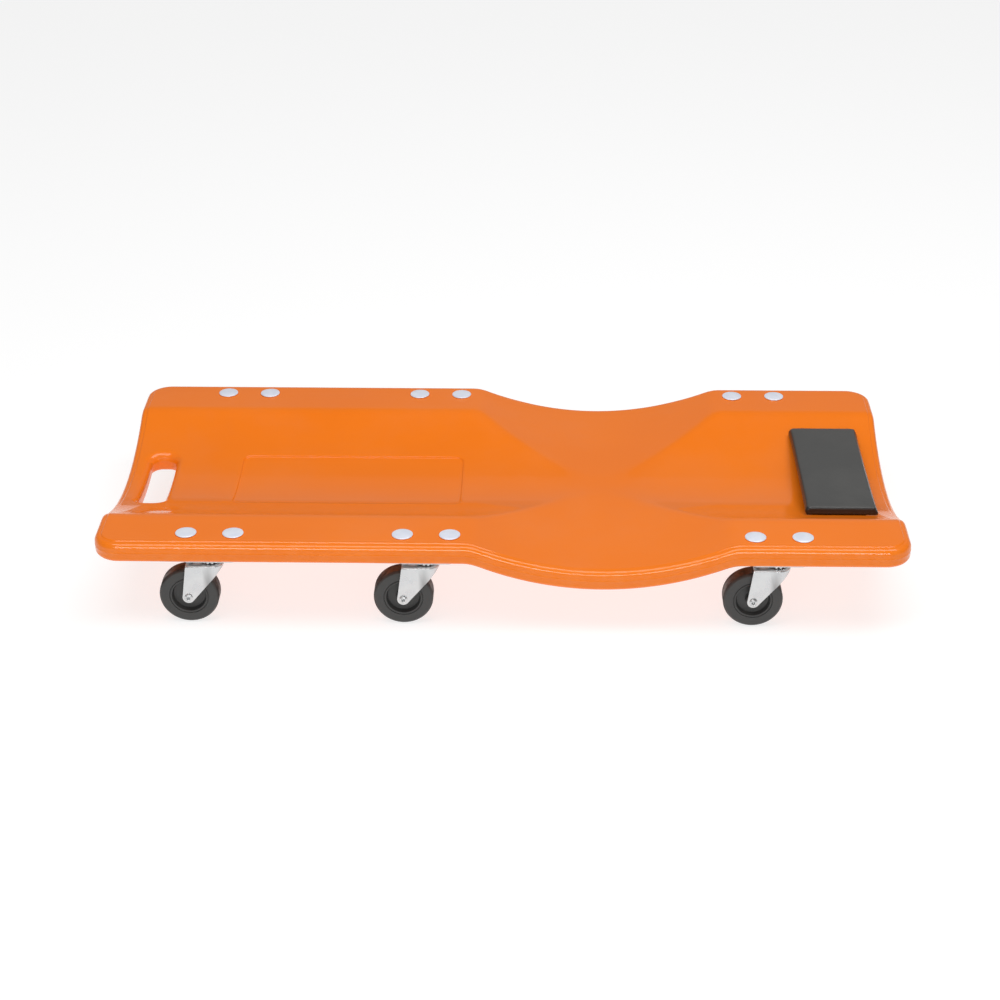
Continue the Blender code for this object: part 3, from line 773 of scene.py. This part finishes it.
def fork_mesh(caster):
    """A drawn sheet-steel fork with rounded shoulders, a ball groove and pierced legs."""
    top = caster.fork_top
    crown_bottom = top - FORK_SHEET

    def shoulders(name, inward, bend, low, high):
        rings = [[(x, y, low) for x, y in fork_plan(caster, inward)]]
        for k in range(7):
            angle = math.pi / 2 * k / 6
            plan = fork_plan(caster, inward + bend * (1 - math.cos(angle)))
            height = high - bend + bend * math.sin(angle)
            rings.append([(x, y, height) for x, y in plan])
        return stacked(name, rings)

    side = prism("fork_side", fork_side(caster), -0.05, 0.05)
    side.transform(Matrix.Rotation(math.pi / 2, 4, "X"))
    axle_hole = prism("axle_hole", circle(AXLE_HOLE_RADIUS), -0.05, 0.05)
    axle_hole.transform(Matrix.Rotation(math.pi / 2, 4, "X"))
    axle_hole.transform(Matrix.Translation((-caster.trail, 0, caster.wheel.z)))
    steps = [
        ("DIFFERENCE", shoulders("fork_inside", FORK_SHEET, FORK_BEND / 3, -0.01, crown_bottom)),
        ("INTERSECT", side),
        ("DIFFERENCE", axle_hole),
        ("DIFFERENCE", prism("pin_hole", circle(PIN_HOLE_RADIUS), 0, 0.2)),
        ("DIFFERENCE", race_groove(caster)),
    ]
    mesh = combined("caster_fork", shoulders("fork_blank", 0, FORK_BEND, 0.01, top), steps)
    waist = caster.crown_radius * math.cos(FORK_PINCH_ANGLE)

    def painted_shade_at_waist(vert):
        """Painted shade: the plating is drawn darker and duller where the crown is pinched in to the legs,
        where the crease falls in shade.
        """
        behind = ease(vert.co.x, waist - FORK_PINCH_LENGTH, waist)
        ahead = 1 - ease(vert.co.x, waist, waist + 0.010)
        return behind * ahead * ease(top - vert.co.z, 0.002, 0.005)

    return mark_wear_and_painted_light(bevelled("caster_fork", mesh, 0.0003), painted_shade_at_waist)


def wheel_mesh(caster):
    """A moulded wheel about its own centre: hub, dished web, lip ring, face and rounded shoulders."""
    radius = caster.wheel_radius
    half = rounded_path(
        [
            (0.0033, 0.0126, 0),
            (0.0037, 0.0130, 0.0002),
            (0.0085, 0.0130, 0.0007),
            (0.0089, 0.0042, 0.0014),
            (0.0203, 0.0042, 0.0016),
            (0.0216, 0.0118, 0.0007),
            (0.0234, 0.0118, 0.0003),
            (0.0237, 0.0107, 0.0002),
            (0.0245, 0.0107, 0.0002),
            (0.0249, 0.0118, 0.0004),
            (radius - 0.0026, 0.0118, 0.0012),
            (radius, 0.0090, 0.0016),
            (radius, 0.0001, 0),
        ],
        4,
    )
    profile = [(r, -side) for r, side in half] + [(r, side) for r, side in reversed(half)]
    mesh = turned("caster_wheel", profile, 96, closed=True)
    mark_wear_and_painted_light(mesh, lambda vert: ease(math.hypot(*vert.co.xy), radius - 0.0026, radius - 0.0002))
    return along_y(mesh)


def axle_mesh(caster):
    """A tubular rivet with rolled heads outside both legs."""
    top = caster.axle_half
    face = top - AXLE_HEAD_HEIGHT
    half = rounded_path(
        [
            (0, face - 0.0020, 0),
            (0.0021, face - 0.0020, 0.0002),
            (0.0023, top, 0.0004),
            (0.0034, top, 0.0010),
            (AXLE_HEAD_RADIUS, face + 0.0006, 0.0004),
            (AXLE_HEAD_RADIUS, face, 0),
            (AXLE_RADIUS, face, 0),
        ],
        4,
    )
    profile = [(r, -side) for r, side in half] + [(r, side) for r, side in reversed(half)]
    return along_y(turned("caster_axle", profile, 48))


# ================================================================ fasteners
def bolt_mesh(name):
    """A wide low dome on a threaded shank."""
    low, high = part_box(name)
    head = (high[0] - low[0]) / 2 + BOLT_RIM
    seat = high[2] - BOLT_HEAD_HEIGHT
    profile = [(0, low[2]), (BOLT_RADIUS - 0.0006, low[2]), (BOLT_RADIUS, low[2] + 0.0006)]
    for k in range(THREAD_TURNS):
        height = low[2] + 0.0006 + k * THREAD_PITCH
        for radius, share in ((BOLT_RADIUS, 0.1), (BOLT_RADIUS - 0.0005, 0.5), (BOLT_RADIUS, 0.9)):
            profile.append((radius, height + share * THREAD_PITCH))
    profile += [(BOLT_RADIUS, seat), (head - 0.0004, seat), (head, seat + 0.0004)]
    dome = high[2] - seat - 0.0008
    for k in range(13):
        angle = math.pi / 2 * k / 12
        radius = head * math.cos(angle) ** 0.9 if k < 12 else 0
        profile.append((radius, seat + 0.0008 + dome * math.sin(angle)))
    return turned("bolt", profile, 64)


def nut_mesh(name):
    """A hexagon nut with chamfered corners and a round collar that grips a plastic ring."""
    low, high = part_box(name)
    size = min(high[0] - low[0], high[1] - low[1])
    corner = size / 2 / math.cos(math.pi / 6)
    collar_top = low[2] + 0.0016
    hexagon = prism("hexagon", circle(corner, 6), collar_top, high[2])
    chamfer = [(0, collar_top), (size / 2 - 0.0001, collar_top), (corner, collar_top + 0.0007)]
    chamfer += [(corner, high[2] - 0.0006), (size / 2, high[2]), (0, high[2])]
    collar = rounded_path(
        [(0, low[2], 0), (0.0040, low[2], 0.0002), (0.0048, low[2] + 0.0007, 0.0005)]
        + [(0.0050, collar_top + 0.001, 0), (0, collar_top + 0.001, 0)]
    )
    steps = [
        ("INTERSECT", turned("chamfer", chamfer)),
        ("UNION", turned("collar", collar)),
        ("DIFFERENCE", prism("ring_seat", circle(NUT_RING_RADIUS), 0, low[2] + 0.0013)),
        ("DIFFERENCE", prism("nut_bore", circle(BOLT_RADIUS), 0, 0.2)),
    ]
    return smooth(combined("nut", hexagon, steps), 28)


def nut_ring_mesh(name):
    low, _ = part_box(name)
    ring = [(BOLT_RADIUS, low[2] + 0.0002), (NUT_RING_RADIUS, low[2] + 0.0002)]
    ring += [(NUT_RING_RADIUS, low[2] + 0.0012), (BOLT_RADIUS, low[2] + 0.0012)]
    return turned("nut_ring", ring, 32, closed=True)


def screw_mesh(name):
    """A pan-head screw, head down, with a cross recess."""
    low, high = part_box(name)
    head = (high[0] - low[0]) / 2
    seat = low[2] + SCREW_HEAD_HEIGHT
    profile = rounded_path(
        [(0, low[2], 0), (head, low[2] + 0.0004, 0.0016), (head, seat, 0), (SCREW_RADIUS, seat, 0)]
        + [(SCREW_RADIUS, high[2], 0), (0, high[2], 0)]
    )
    slots = []
    for half_x, half_y in ((0.0022, 0.0005), (0.0005, 0.0022)):
        slots.append(prism("slot", rounded_rectangle(half_x, half_y, 0.0002, 2), 0, low[2] + 0.0014))
    steps = [("DIFFERENCE", slot) for slot in slots]
    return smooth(combined("headrest_screw", turned("screw_blank", profile, 48), steps))


def board_mesh():
    """The headrest's board, its edges eased."""
    low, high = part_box("headrest_board")
    half = [(high[i] - low[i]) / 2 for i in range(2)]
    middle = centre_of("headrest_board")
    return smooth(eased_slab("headrest_board", half, SEAT_CORNER, low[2], high[2], middle))


# ================================================================ repeated pieces
def placing_tree():
    """Geometry nodes that set one shape on every place, each turned by its own amount."""
    tree = bpy.data.node_groups.new("set_on_places", "GeometryNodeTree")
    for name, kind in (
        ("Places", "NodeSocketGeometry"),
        ("Shape", "NodeSocketObject"),
        ("Largest Turn", "NodeSocketFloat"),
        ("Seed", "NodeSocketInt"),
        ("Material", "NodeSocketMaterial"),
    ):
        tree.interface.new_socket(name, in_out="INPUT", socket_type=kind)
    tree.interface.new_socket("Pieces", in_out="OUTPUT", socket_type="NodeSocketGeometry")
    nodes, links = tree.nodes, tree.links
    given = nodes.new("NodeGroupInput")
    shape = nodes.new("GeometryNodeObjectInfo")
    turn = nodes.new("FunctionNodeRandomValue")
    turn.data_type = "FLOAT"
    about_z = nodes.new("ShaderNodeCombineXYZ")
    place = nodes.new("GeometryNodeInstanceOnPoints")
    real = nodes.new("GeometryNodeRealizeInstances")
    paint = nodes.new("GeometryNodeSetMaterial")
    result = nodes.new("NodeGroupOutput")
    turn_sockets = {socket.identifier: socket for socket in turn.inputs}
    value = next(socket for socket in turn.outputs if socket.enabled)
    links.new(given.outputs["Shape"], shape.inputs["Object"])
    links.new(given.outputs["Largest Turn"], turn_sockets["Max_001"])
    links.new(given.outputs["Seed"], turn_sockets["Seed"])
    links.new(value, about_z.inputs["Z"])
    links.new(given.outputs["Places"], place.inputs["Points"])
    links.new(shape.outputs["Geometry"], place.inputs["Instance"])
    links.new(about_z.outputs["Vector"], place.inputs["Rotation"])
    links.new(place.outputs["Instances"], real.inputs["Geometry"])
    links.new(real.outputs["Geometry"], paint.inputs["Geometry"])
    links.new(given.outputs["Material"], paint.inputs["Material"])
    links.new(paint.outputs["Geometry"], result.inputs["Pieces"])
    return tree


def set_on_places(tree, name, shape, places, material, largest_turn=0.0, seed=7):
    """One piece made of a shape repeated at its places."""
    pattern = new_object(name + "_pattern", shape)
    holder = new_object(name + "_places", mesh_of(name + "_places", places, []))
    modifier = holder.modifiers.new("places", "NODES")
    modifier.node_group = tree
    given = {"Shape": pattern, "Largest Turn": largest_turn, "Seed": seed, "Material": material}
    for item in tree.interface.items_tree:
        if item.in_out == "INPUT" and item.name in given:
            modifier[item.identifier] = given[item.name]
    mesh = evaluated_mesh(holder, name)
    for item in (pattern, holder):
        bpy.data.objects.remove(item, do_unlink=True)
    return new_object(name, mesh, material)


# ================================================================ headrest cushion
def cushion_blank(low, high):
    """A closed, crowned block, upright at its ends and leaning in along its long sides."""
    middle = (low + high) / 2
    tall = high.z - low.z
    layers = [
        (0.0004, 0.0004, 0.0),
        (0.0, 0.0, 0.0020),
        (0.0008, 0.0, 0.35 * tall),
        (0.0026, 0.0002, 0.65 * tall),
        (0.0042, 0.0006, tall - 0.0022),
        (0.0052, 0.0014, tall - 0.0012),
        (0.0120, 0.0080, tall - 0.0008),
        (0.0240, 0.0240, tall - 0.0004),
        (0.0360, 0.0500, tall),
    ]
    rings = []
    for inset_x, inset_y, height in layers:
        half_x = (high.x - low.x) / 2 - inset_x
        half_y = (high.y - low.y) / 2 - inset_y
        ring = []
        for x, y in rounded_rectangle(half_x, half_y, CUSHION_CORNER, 5):
            ear = CORNER_EAR * abs(x / half_x * y / half_y) ** 6
            place = (x + math.copysign(ear, x) + middle.x, y + math.copysign(ear, y) + middle.y)
            ring.append((*place, low.z + height))
        rings.append(ring)
    return stacked("cushion_blank", rings)


def remeshed(mesh, size):
    blank = new_object("remesh_blank", mesh)
    modifier = blank.modifiers.new("even", "REMESH")
    modifier.mode = "VOXEL"
    modifier.voxel_size = size
    result = evaluated_mesh(blank, mesh.name)
    bpy.data.objects.remove(blank, do_unlink=True)
    return result


def stuffed(mesh, pressure, frames, largest_move):
    """The mesh blown out like a tight cover, no point moved by more than the largest move."""
    start = [vert.co.copy() for vert in mesh.vertices]
    body = new_object("cushion_cloth", mesh.copy())
    cloth = body.modifiers.new("cloth", "CLOTH")
    cloth.settings.use_pressure = True
    cloth.settings.uniform_pressure_force = pressure
    cloth.settings.effector_weights.gravity = 0.0
    scene = bpy.context.scene
    for frame_number in range(1, frames + 1):
        scene.frame_set(frame_number)
    result = evaluated_mesh(body, mesh.name)
    bpy.data.objects.remove(body, do_unlink=True)
    scene.frame_set(1)
    for vert, origin in zip(result.vertices, start):
        move = vert.co - origin
        if move.length > largest_move:
            vert.co = origin + move.normalized() * largest_move
    return result


def fitted(mesh, low, high):
    """Stretches the mesh a little so that it just fills its box."""
    corners = [[pick(vert.co[i] for vert in mesh.vertices) for i in range(3)] for pick in (min, max)]
    for vert in mesh.vertices:
        for i in range(3):
            share = (vert.co[i] - corners[0][i]) / (corners[1][i] - corners[0][i])
            vert.co[i] = low[i] + share * (high[i] - low[i])


def cushion_mesh():
    low, high = (Vector(corner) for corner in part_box("headrest_cushion"))
    low.y -= COVER_STANDS_OUT
    high.y += COVER_STANDS_OUT
    mesh = remeshed(cushion_blank(low, high), CUSHION_VOXEL)
    mesh = stuffed(mesh, STUFFING_PRESSURE, STUFFING_FRAMES, STUFFING_LARGEST_MOVE)
    blank = new_object("cushion_smooth", mesh)
    modifier = blank.modifiers.new("smooth", "SUBSURF")
    modifier.levels = 1
    modifier.render_levels = 1
    result = evaluated_mesh(blank, "headrest_cushion")
    bpy.data.objects.remove(blank, do_unlink=True)
    fitted(result, low, high)
    result.update()
    # Painted light: the up-facing top is drawn in the vinyl's lighter third colour, the sides stay in the
    # dark base colour.
    mark_wear_and_painted_light(result, lambda vert: ease(vert.normal.z, 0.75, 0.95))
    return smooth(result, 60)


# ================================================================ finishes
def group_tree(name, inputs, outputs):
    tree = bpy.data.node_groups.new(name, "ShaderNodeTree")
    for socket, kind in inputs:
        tree.interface.new_socket(socket, in_out="INPUT", socket_type=kind)
    for socket, kind in outputs:
        tree.interface.new_socket(socket, in_out="OUTPUT", socket_type=kind)
    return tree, tree.nodes.new("NodeGroupInput"), tree.nodes.new("NodeGroupOutput")


def maths(tree, operation, *values):
    node = tree.nodes.new("ShaderNodeMath")
    node.operation = operation
    for socket, value in zip(node.inputs, values):
        if isinstance(value, (int, float)):
            socket.default_value = value
        else:
            tree.links.new(value, socket)
    return node.outputs[0]


def spread(tree, value, low, high, to_low=0.0, to_high=1.0):
    node = tree.nodes.new("ShaderNodeMapRange")
    node.interpolation_type = "SMOOTHSTEP"
    tree.links.new(value, node.inputs["Value"])
    for name, number in (("From Min", low), ("From Max", high), ("To Min", to_low), ("To Max", to_high)):
        node.inputs[name].default_value = number
    return node.outputs["Result"]


def noise(tree, vector, scale, detail=3.0, roughness=0.5):
    node = tree.nodes.new("ShaderNodeTexNoise")
    tree.links.new(vector, node.inputs["Vector"])
    for name, value in (("Scale", scale), ("Detail", detail), ("Roughness", roughness)):
        if isinstance(value, (int, float)):
            node.inputs[name].default_value = value
        else:
            tree.links.new(value, node.inputs[name])
    return node.outputs["Fac"]


def grain_group():
    """Fine unevenness: a height for bump and a slow variation for colour and shine."""
    vector, scalar = "NodeSocketVector", "NodeSocketFloat"
    inputs = [("Vector", vector), ("Fine Scale", scalar), ("Broad Scale", scalar)]
    tree, given, result = group_tree("grain", inputs, [("Height", scalar), ("Variation", scalar)])
    fine = noise(tree, given.outputs["Vector"], given.outputs["Fine Scale"], 2.0)
    broad = noise(tree, given.outputs["Vector"], given.outputs["Broad Scale"], 4.0, 0.55)
    tree.links.new(fine, result.inputs["Height"])
    tree.links.new(spread(tree, broad, 0.3, 0.7), result.inputs["Variation"])
    return tree


def dust_group():
    """Dust on what faces up, in patches."""
    vector, scalar = "NodeSocketVector", "NodeSocketFloat"
    tree, given, result = group_tree("dust", [("Vector", vector), ("Amount", scalar)], [("Mask", scalar)])
    facing = tree.nodes.new("ShaderNodeNewGeometry")
    parts = tree.nodes.new("ShaderNodeSeparateXYZ")
    tree.links.new(facing.outputs["Normal"], parts.inputs[0])
    up = spread(tree, parts.outputs["Z"], 0.2, 0.95)
    patches = spread(tree, noise(tree, given.outputs["Vector"], 9.0, 6.0, 0.62), 0.42, 0.72)
    specks = spread(tree, noise(tree, given.outputs["Vector"], 900.0, 1.0), 0.60, 0.72)
    both = maths(tree, "ADD", maths(tree, "MULTIPLY", patches, 0.6), maths(tree, "MULTIPLY", specks, 0.4))
    tree.links.new(
        maths(tree, "MULTIPLY", maths(tree, "MULTIPLY", both, up), given.outputs["Amount"]),
        result.inputs["Mask"],
    )
    return tree


def wear_and_painted_light_group():
    """Wear, and on some pieces painted light and painted shade, where the piece is marked, broken up by
    noise unless it is asked to be even.
    """
    vector, scalar = "NodeSocketVector", "NodeSocketFloat"
    inputs = [("Vector", vector), ("Edge", scalar), ("Amount", scalar), ("Evenness", scalar)]
    tree, given, result = group_tree("wear", inputs, [("Mask", scalar)])
    broken = spread(tree, noise(tree, given.outputs["Vector"], 60.0, 5.0, 0.6), 0.35, 0.75)
    covered = maths(tree, "MAXIMUM", broken, given.outputs["Evenness"])
    at_edge = maths(tree, "MULTIPLY", given.outputs["Edge"], covered)
    tree.links.new(maths(tree, "MULTIPLY", at_edge, given.outputs["Amount"]), result.inputs["Mask"])
    return tree


class Finishes:
    """Builds every material from the shared groups."""

    def __init__(self):
        self.groups = {"grain": grain_group(), "dust": dust_group(), "wear": wear_and_painted_light_group()}

    def use(self, tree, group, **values):
        node = tree.nodes.new("ShaderNodeGroup")
        node.node_tree = self.groups[group]
        for name, value in values.items():
            socket = node.inputs[name.replace("_", " ")]
            if isinstance(value, (int, float)):
                socket.default_value = value
            else:
                tree.links.new(value, socket)
        return node

    def make(self, name, colour, other, wear_and_painted_light_colour, roughness, centre=(0, 0, 0), **more):
        """A material: two near colours, a colour for wear, painted light and painted shade where the piece
        is marked, and (smooth, dull) roughness.
        """
        material = bpy.data.materials.new(name)
        material.use_nodes = True
        tree = material.node_tree
        shader = tree.nodes["Principled BSDF"]
        coordinates = tree.nodes.new("ShaderNodeTexCoord")
        mapping = tree.nodes.new("ShaderNodeMapping")
        mapping.inputs["Location"].default_value = [-c for c in centre]
        tree.links.new(coordinates.outputs["Object"], mapping.inputs["Vector"])
        vector = mapping.outputs["Vector"]
        grain = self.use(
            tree, "grain", Vector=vector,
            Fine_Scale=more.get("fine", 600.0), Broad_Scale=more.get("broad", 6.0),
        )
        edge = tree.nodes.new("ShaderNodeAttribute")
        edge.attribute_name = "rubbed"
        wear = self.use(
            tree, "wear", Vector=vector, Edge=edge.outputs["Fac"],
            Amount=more.get("wear", 0.3), Evenness=more.get("even", 0.0),
        )
        dust = self.use(tree, "dust", Vector=vector, Amount=more.get("dust", 0.05))
        base = mixed(tree, grain.outputs["Variation"], colour, other)
        base = mixed(tree, wear.outputs["Mask"], base, wear_and_painted_light_colour)
        base = mixed(tree, dust.outputs["Mask"], base, (0.42, 0.40, 0.37))
        tree.links.new(base, shader.inputs["Base Color"])
        dull = spread(tree, grain.outputs["Variation"], 0.0, 1.0, *roughness)
        dull = maths(tree, "ADD", dull, maths(tree, "MULTIPLY", dust.outputs["Mask"], 0.5))
        dull = maths(tree, "ADD", dull, maths(tree, "MULTIPLY", wear.outputs["Mask"], 0.25))
        tree.links.new(dull, shader.inputs["Roughness"])
        height = grain.outputs["Height"]
        if more.get("hide_scale"):
            height = hide_height(tree, vector, more["hide_scale"], height)
        bump = tree.nodes.new("ShaderNodeBump")
        bump.inputs["Strength"].default_value = more.get("bump", 0.15)
        bump.inputs["Distance"].default_value = more.get("bump_depth", 0.0002)
        tree.links.new(height, bump.inputs["Height"])
        tree.links.new(bump.outputs["Normal"], shader.inputs["Normal"])
        for socket, value in more.get("shader", {}).items():
            shader.inputs[socket].default_value = value
        return material


def mixed(tree, factor, first, second):
    node = tree.nodes.new("ShaderNodeMix")
    node.data_type = "RGBA"
    sockets = {socket.identifier: socket for socket in node.inputs}
    tree.links.new(factor, sockets["Factor_Float"])
    for key, value in (("A_Color", first), ("B_Color", second)):
        if isinstance(value, tuple):
            sockets[key].default_value = (*value, 1.0)
        else:
            tree.links.new(value, sockets[key])
    return next(socket for socket in node.outputs if socket.identifier == "Result_Color")


def hide_height(tree, vector, scale, fine):
    """The pebbled height of leather-grained vinyl."""
    cells = tree.nodes.new("ShaderNodeTexVoronoi")
    cells.feature = "SMOOTH_F1"
    cells.inputs["Scale"].default_value = scale
    tree.links.new(vector, cells.inputs["Vector"])
    pebble = maths(tree, "SUBTRACT", 1.0, cells.outputs["Distance"])
    return maths(tree, "ADD", pebble, maths(tree, "MULTIPLY", fine, 0.3))


# ================================================================ assembly
PLASTIC_SHINE = {"IOR": 1.49, "Specular IOR Level": 0.1, "Coat Weight": 0.6, "Coat Roughness": 0.06}

finishes = Finishes()
orange = finishes.make(
    "moulded_orange_deck", (0.87, 0.184, 0.002), (0.90, 0.197, 0.004), (0.90, 0.28, 0.06), (0.34, 0.42),
    fine=900.0, broad=4.0, wear=0.25, dust=0.04, bump=0.06, bump_depth=0.0003, shader=PLASTIC_SHINE,
)
# The third colour, a lighter grey, is painted light on the cushion's up-facing top.
vinyl = finishes.make(
    "grained_headrest_vinyl", (0.010, 0.010, 0.010), (0.013, 0.013, 0.012), (0.068, 0.068, 0.066),
    (0.32, 0.40), centre=(HEADREST_X, 0, 0.11), hide_scale=900.0,
    bump=0.35, bump_depth=0.0003, dust=0.05, wear=1.0, even=0.9,
    shader={"Specular IOR Level": 0.4, "Coat Weight": 0.25, "Coat Roughness": 0.15},
)
board_finish = finishes.make(
    "headrest_board", (0.020, 0.018, 0.016), (0.032, 0.027, 0.022), (0.08, 0.06, 0.04), (0.60, 0.75),
    centre=(HEADREST_X, 0, 0.10), fine=1500.0, broad=40.0, bump=0.4,
)
# The third colour, a dark grey, is painted shade, put at the forks' waists.
zinc = finishes.make(
    "zinc_plated_pressings", (0.60, 0.61, 0.62), (0.68, 0.69, 0.69), (0.26, 0.26, 0.26), (0.26, 0.38),
    fine=1400.0, broad=50.0, bump=0.06, dust=0.03, wear=0.8, even=0.9, shader={"Metallic": 1.0},
)
bright = finishes.make(
    "bright_bolt_heads", (0.80, 0.84, 0.96), (0.86, 0.89, 0.98), (0.7, 0.7, 0.7), (0.36, 0.46),
    fine=1800.0, broad=80.0, bump=0.04, dust=0.02, shader={"Metallic": 0.25},
)
ball_steel = finishes.make(
    "polished_balls", (0.70, 0.70, 0.70), (0.74, 0.74, 0.73), (0.5, 0.5, 0.5), (0.08, 0.14),
    bump=0.02, shader={"Metallic": 1.0},
)
wheel_finish = finishes.make(
    "grey_wheel_moulding", (0.040, 0.040, 0.039), (0.047, 0.047, 0.045), (0.016, 0.016, 0.016), (0.40, 0.50),
    fine=700.0, broad=30.0, wear=1.6, dust=0.05, bump=0.12, shader={"Specular IOR Level": 0.5},
)
nylon = finishes.make(
    "nut_locking_ring", (0.55, 0.58, 0.60), (0.62, 0.64, 0.66), (0.4, 0.4, 0.4), (0.40, 0.50), bump=0.1,
)

deck = Deck()
shell = deck_mesh(deck)
mark_edges(shell, deck)
deck_piece = new_object("moulded_deck", shell, orange)
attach(deck_piece, "deck")
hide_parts("deck")

cushion = new_object("cushion", cushion_mesh(), vinyl)
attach(cushion, "deck")
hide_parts("headrest_cushion")

board = new_object("board", board_mesh(), board_finish)
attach(board, "deck")
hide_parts("headrest_board")

casters = [Caster(f"{station}_{side}") for station in STATIONS for side in SIDES]
tree = placing_tree()
first = casters[0]
bolts = [f"{caster.name}_bolt_{end}" for caster in casters for end in ("front", "rear")]
nuts = [name.replace("_bolt_", "_nut_") for name in bolts]
screws = [f"headrest_screw_{side}" for side in SIDES]
plates = [f"{caster.name}_caster_plate" for caster in casters]
kingpins = [f"{caster.name}_caster_kingpin" for caster in casters]


def on_axes(nodes):
    return [(centre_of(node).x, centre_of(node).y, 0) for node in nodes]


for name, shape, nodes, material, slot, turn in (
    ("bolts", bolt_mesh(bolts[0]), bolts, bright, "bright_plated_steel", 6.28),
    ("nuts", nut_mesh(nuts[0]), nuts, zinc, "zinc_plated_steel", 6.28),
    ("nut_rings", nut_ring_mesh(nuts[0]), nuts, nylon, "dark_grey_wheel", 0.0),
    ("screws", screw_mesh(screws[0]), screws, zinc, "zinc_plated_steel", 6.28),
    ("plates", plate_mesh(first), plates, zinc, "zinc_plated_steel", 0.0),
    ("kingpins", kingpin_mesh(first), kingpins, zinc, "zinc_plated_steel", 6.28),
):
    piece = set_on_places(tree, name, shape, on_axes(nodes), material, turn)
    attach(piece, "deck")
    if name != "nut_rings":
        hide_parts(*nodes)

ball = bpy.data.meshes.new("ball")
build = bmesh.new()
bmesh.ops.create_icosphere(build, subdivisions=3, radius=BALL_RADIUS)
build.to_mesh(ball)
build.free()
smooth(ball, 80)
fork = fork_mesh(first)
wheel = wheel_mesh(first)
axle = axle_mesh(first)
for caster in casters:
    name = caster.name
    for label, mesh, place, body, material, slot in (
        ("fork", fork, caster.swivel, "swivel", zinc, "zinc_plated_steel"),
        ("wheel", wheel, caster.wheel, "wheel", wheel_finish, "dark_grey_wheel"),
        ("axle", axle, caster.wheel, "swivel", zinc, "zinc_plated_steel"),
    ):
        piece = new_object(f"{name}_{label}", moved(mesh, place, f"{name}_{label}"), material)
        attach(piece, f"{name}_{body}")
        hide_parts(f"{name}_caster_{label}")
    ring = circle(BALL_RING_RADIUS, BALL_COUNT)
    places = [(x + caster.swivel.x, y + caster.swivel.y, ball_height(caster)) for x, y in ring]
    balls = set_on_places(tree, f"{name}_balls", ball, places, ball_steel, 6.28)
    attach(balls, f"{name}_swivel")


# ================================================================ studio
def area_light(name, place, size, power):
    data = bpy.data.lights.new(name, "AREA")
    data.shape = "RECTANGLE"
    data.size, data.size_y = size
    data.energy = power
    lamp = bpy.data.objects.new(name, data)
    lamp.location = place
    lamp.rotation_euler = (Vector(LAMP_TARGET) - Vector(place)).to_track_quat("-Z", "Y").to_euler()
    bpy.context.scene.collection.objects.link(lamp)


def camera_axes():
    yaw, pitch, roll = CAMERA_YAW, CAMERA_PITCH, CAMERA_ROLL
    forward = Vector((math.sin(yaw) * math.cos(pitch), math.cos(yaw) * math.cos(pitch), -math.sin(pitch)))
    right = Vector((math.cos(yaw), -math.sin(yaw), 0))
    up = right.cross(forward)
    turned_right = right * math.cos(roll) + up * math.sin(roll)
    turned_up = up * math.cos(roll) - right * math.sin(roll)
    return turned_right, turned_up, -forward


corners = [(x * FLOOR_HALF, y * FLOOR_HALF, FLOOR_HEIGHT) for x, y in ((-1, -1), (1, -1), (1, 1), (-1, 1))]
floor = new_object("floor", mesh_of("floor", corners, [(0, 1, 2, 3)]))
paper = bpy.data.materials.new("studio_paper")
paper.use_nodes = True
paper_inputs = paper.node_tree.nodes["Principled BSDF"].inputs
paper_inputs["Base Color"].default_value = (PAPER_SHADE, PAPER_SHADE, PAPER_SHADE, 1)
paper_inputs["Roughness"].default_value = 0.7
paper_inputs["Emission Color"].default_value = (1, 1, 1, 1)
paper_inputs["Emission Strength"].default_value = PAPER_GLOW
floor.data.materials.append(paper)

world = bpy.data.worlds.new("studio")
world.use_nodes = True
world.node_tree.nodes["Background"].inputs["Color"].default_value = (1, 1, 1, 1)
world.node_tree.nodes["Background"].inputs["Strength"].default_value = WORLD_STRENGTH
bpy.context.scene.world = world
for name, place, size, power in LAMPS:
    area_light(name, place, size, power)

data = bpy.data.cameras.new("camera")
data.lens = CAMERA_LENS
data.sensor_width = 36
camera = bpy.data.objects.new("camera", data)
columns = camera_axes()
camera.matrix_world = Matrix(
    [[*(column[row] for column in columns), CAMERA_PLACE[row]] for row in range(3)] + [[0, 0, 0, 1]]
)
bpy.context.scene.collection.objects.link(camera)
bpy.context.scene.camera = camera
bpy.context.scene.view_settings.view_transform = "Standard"
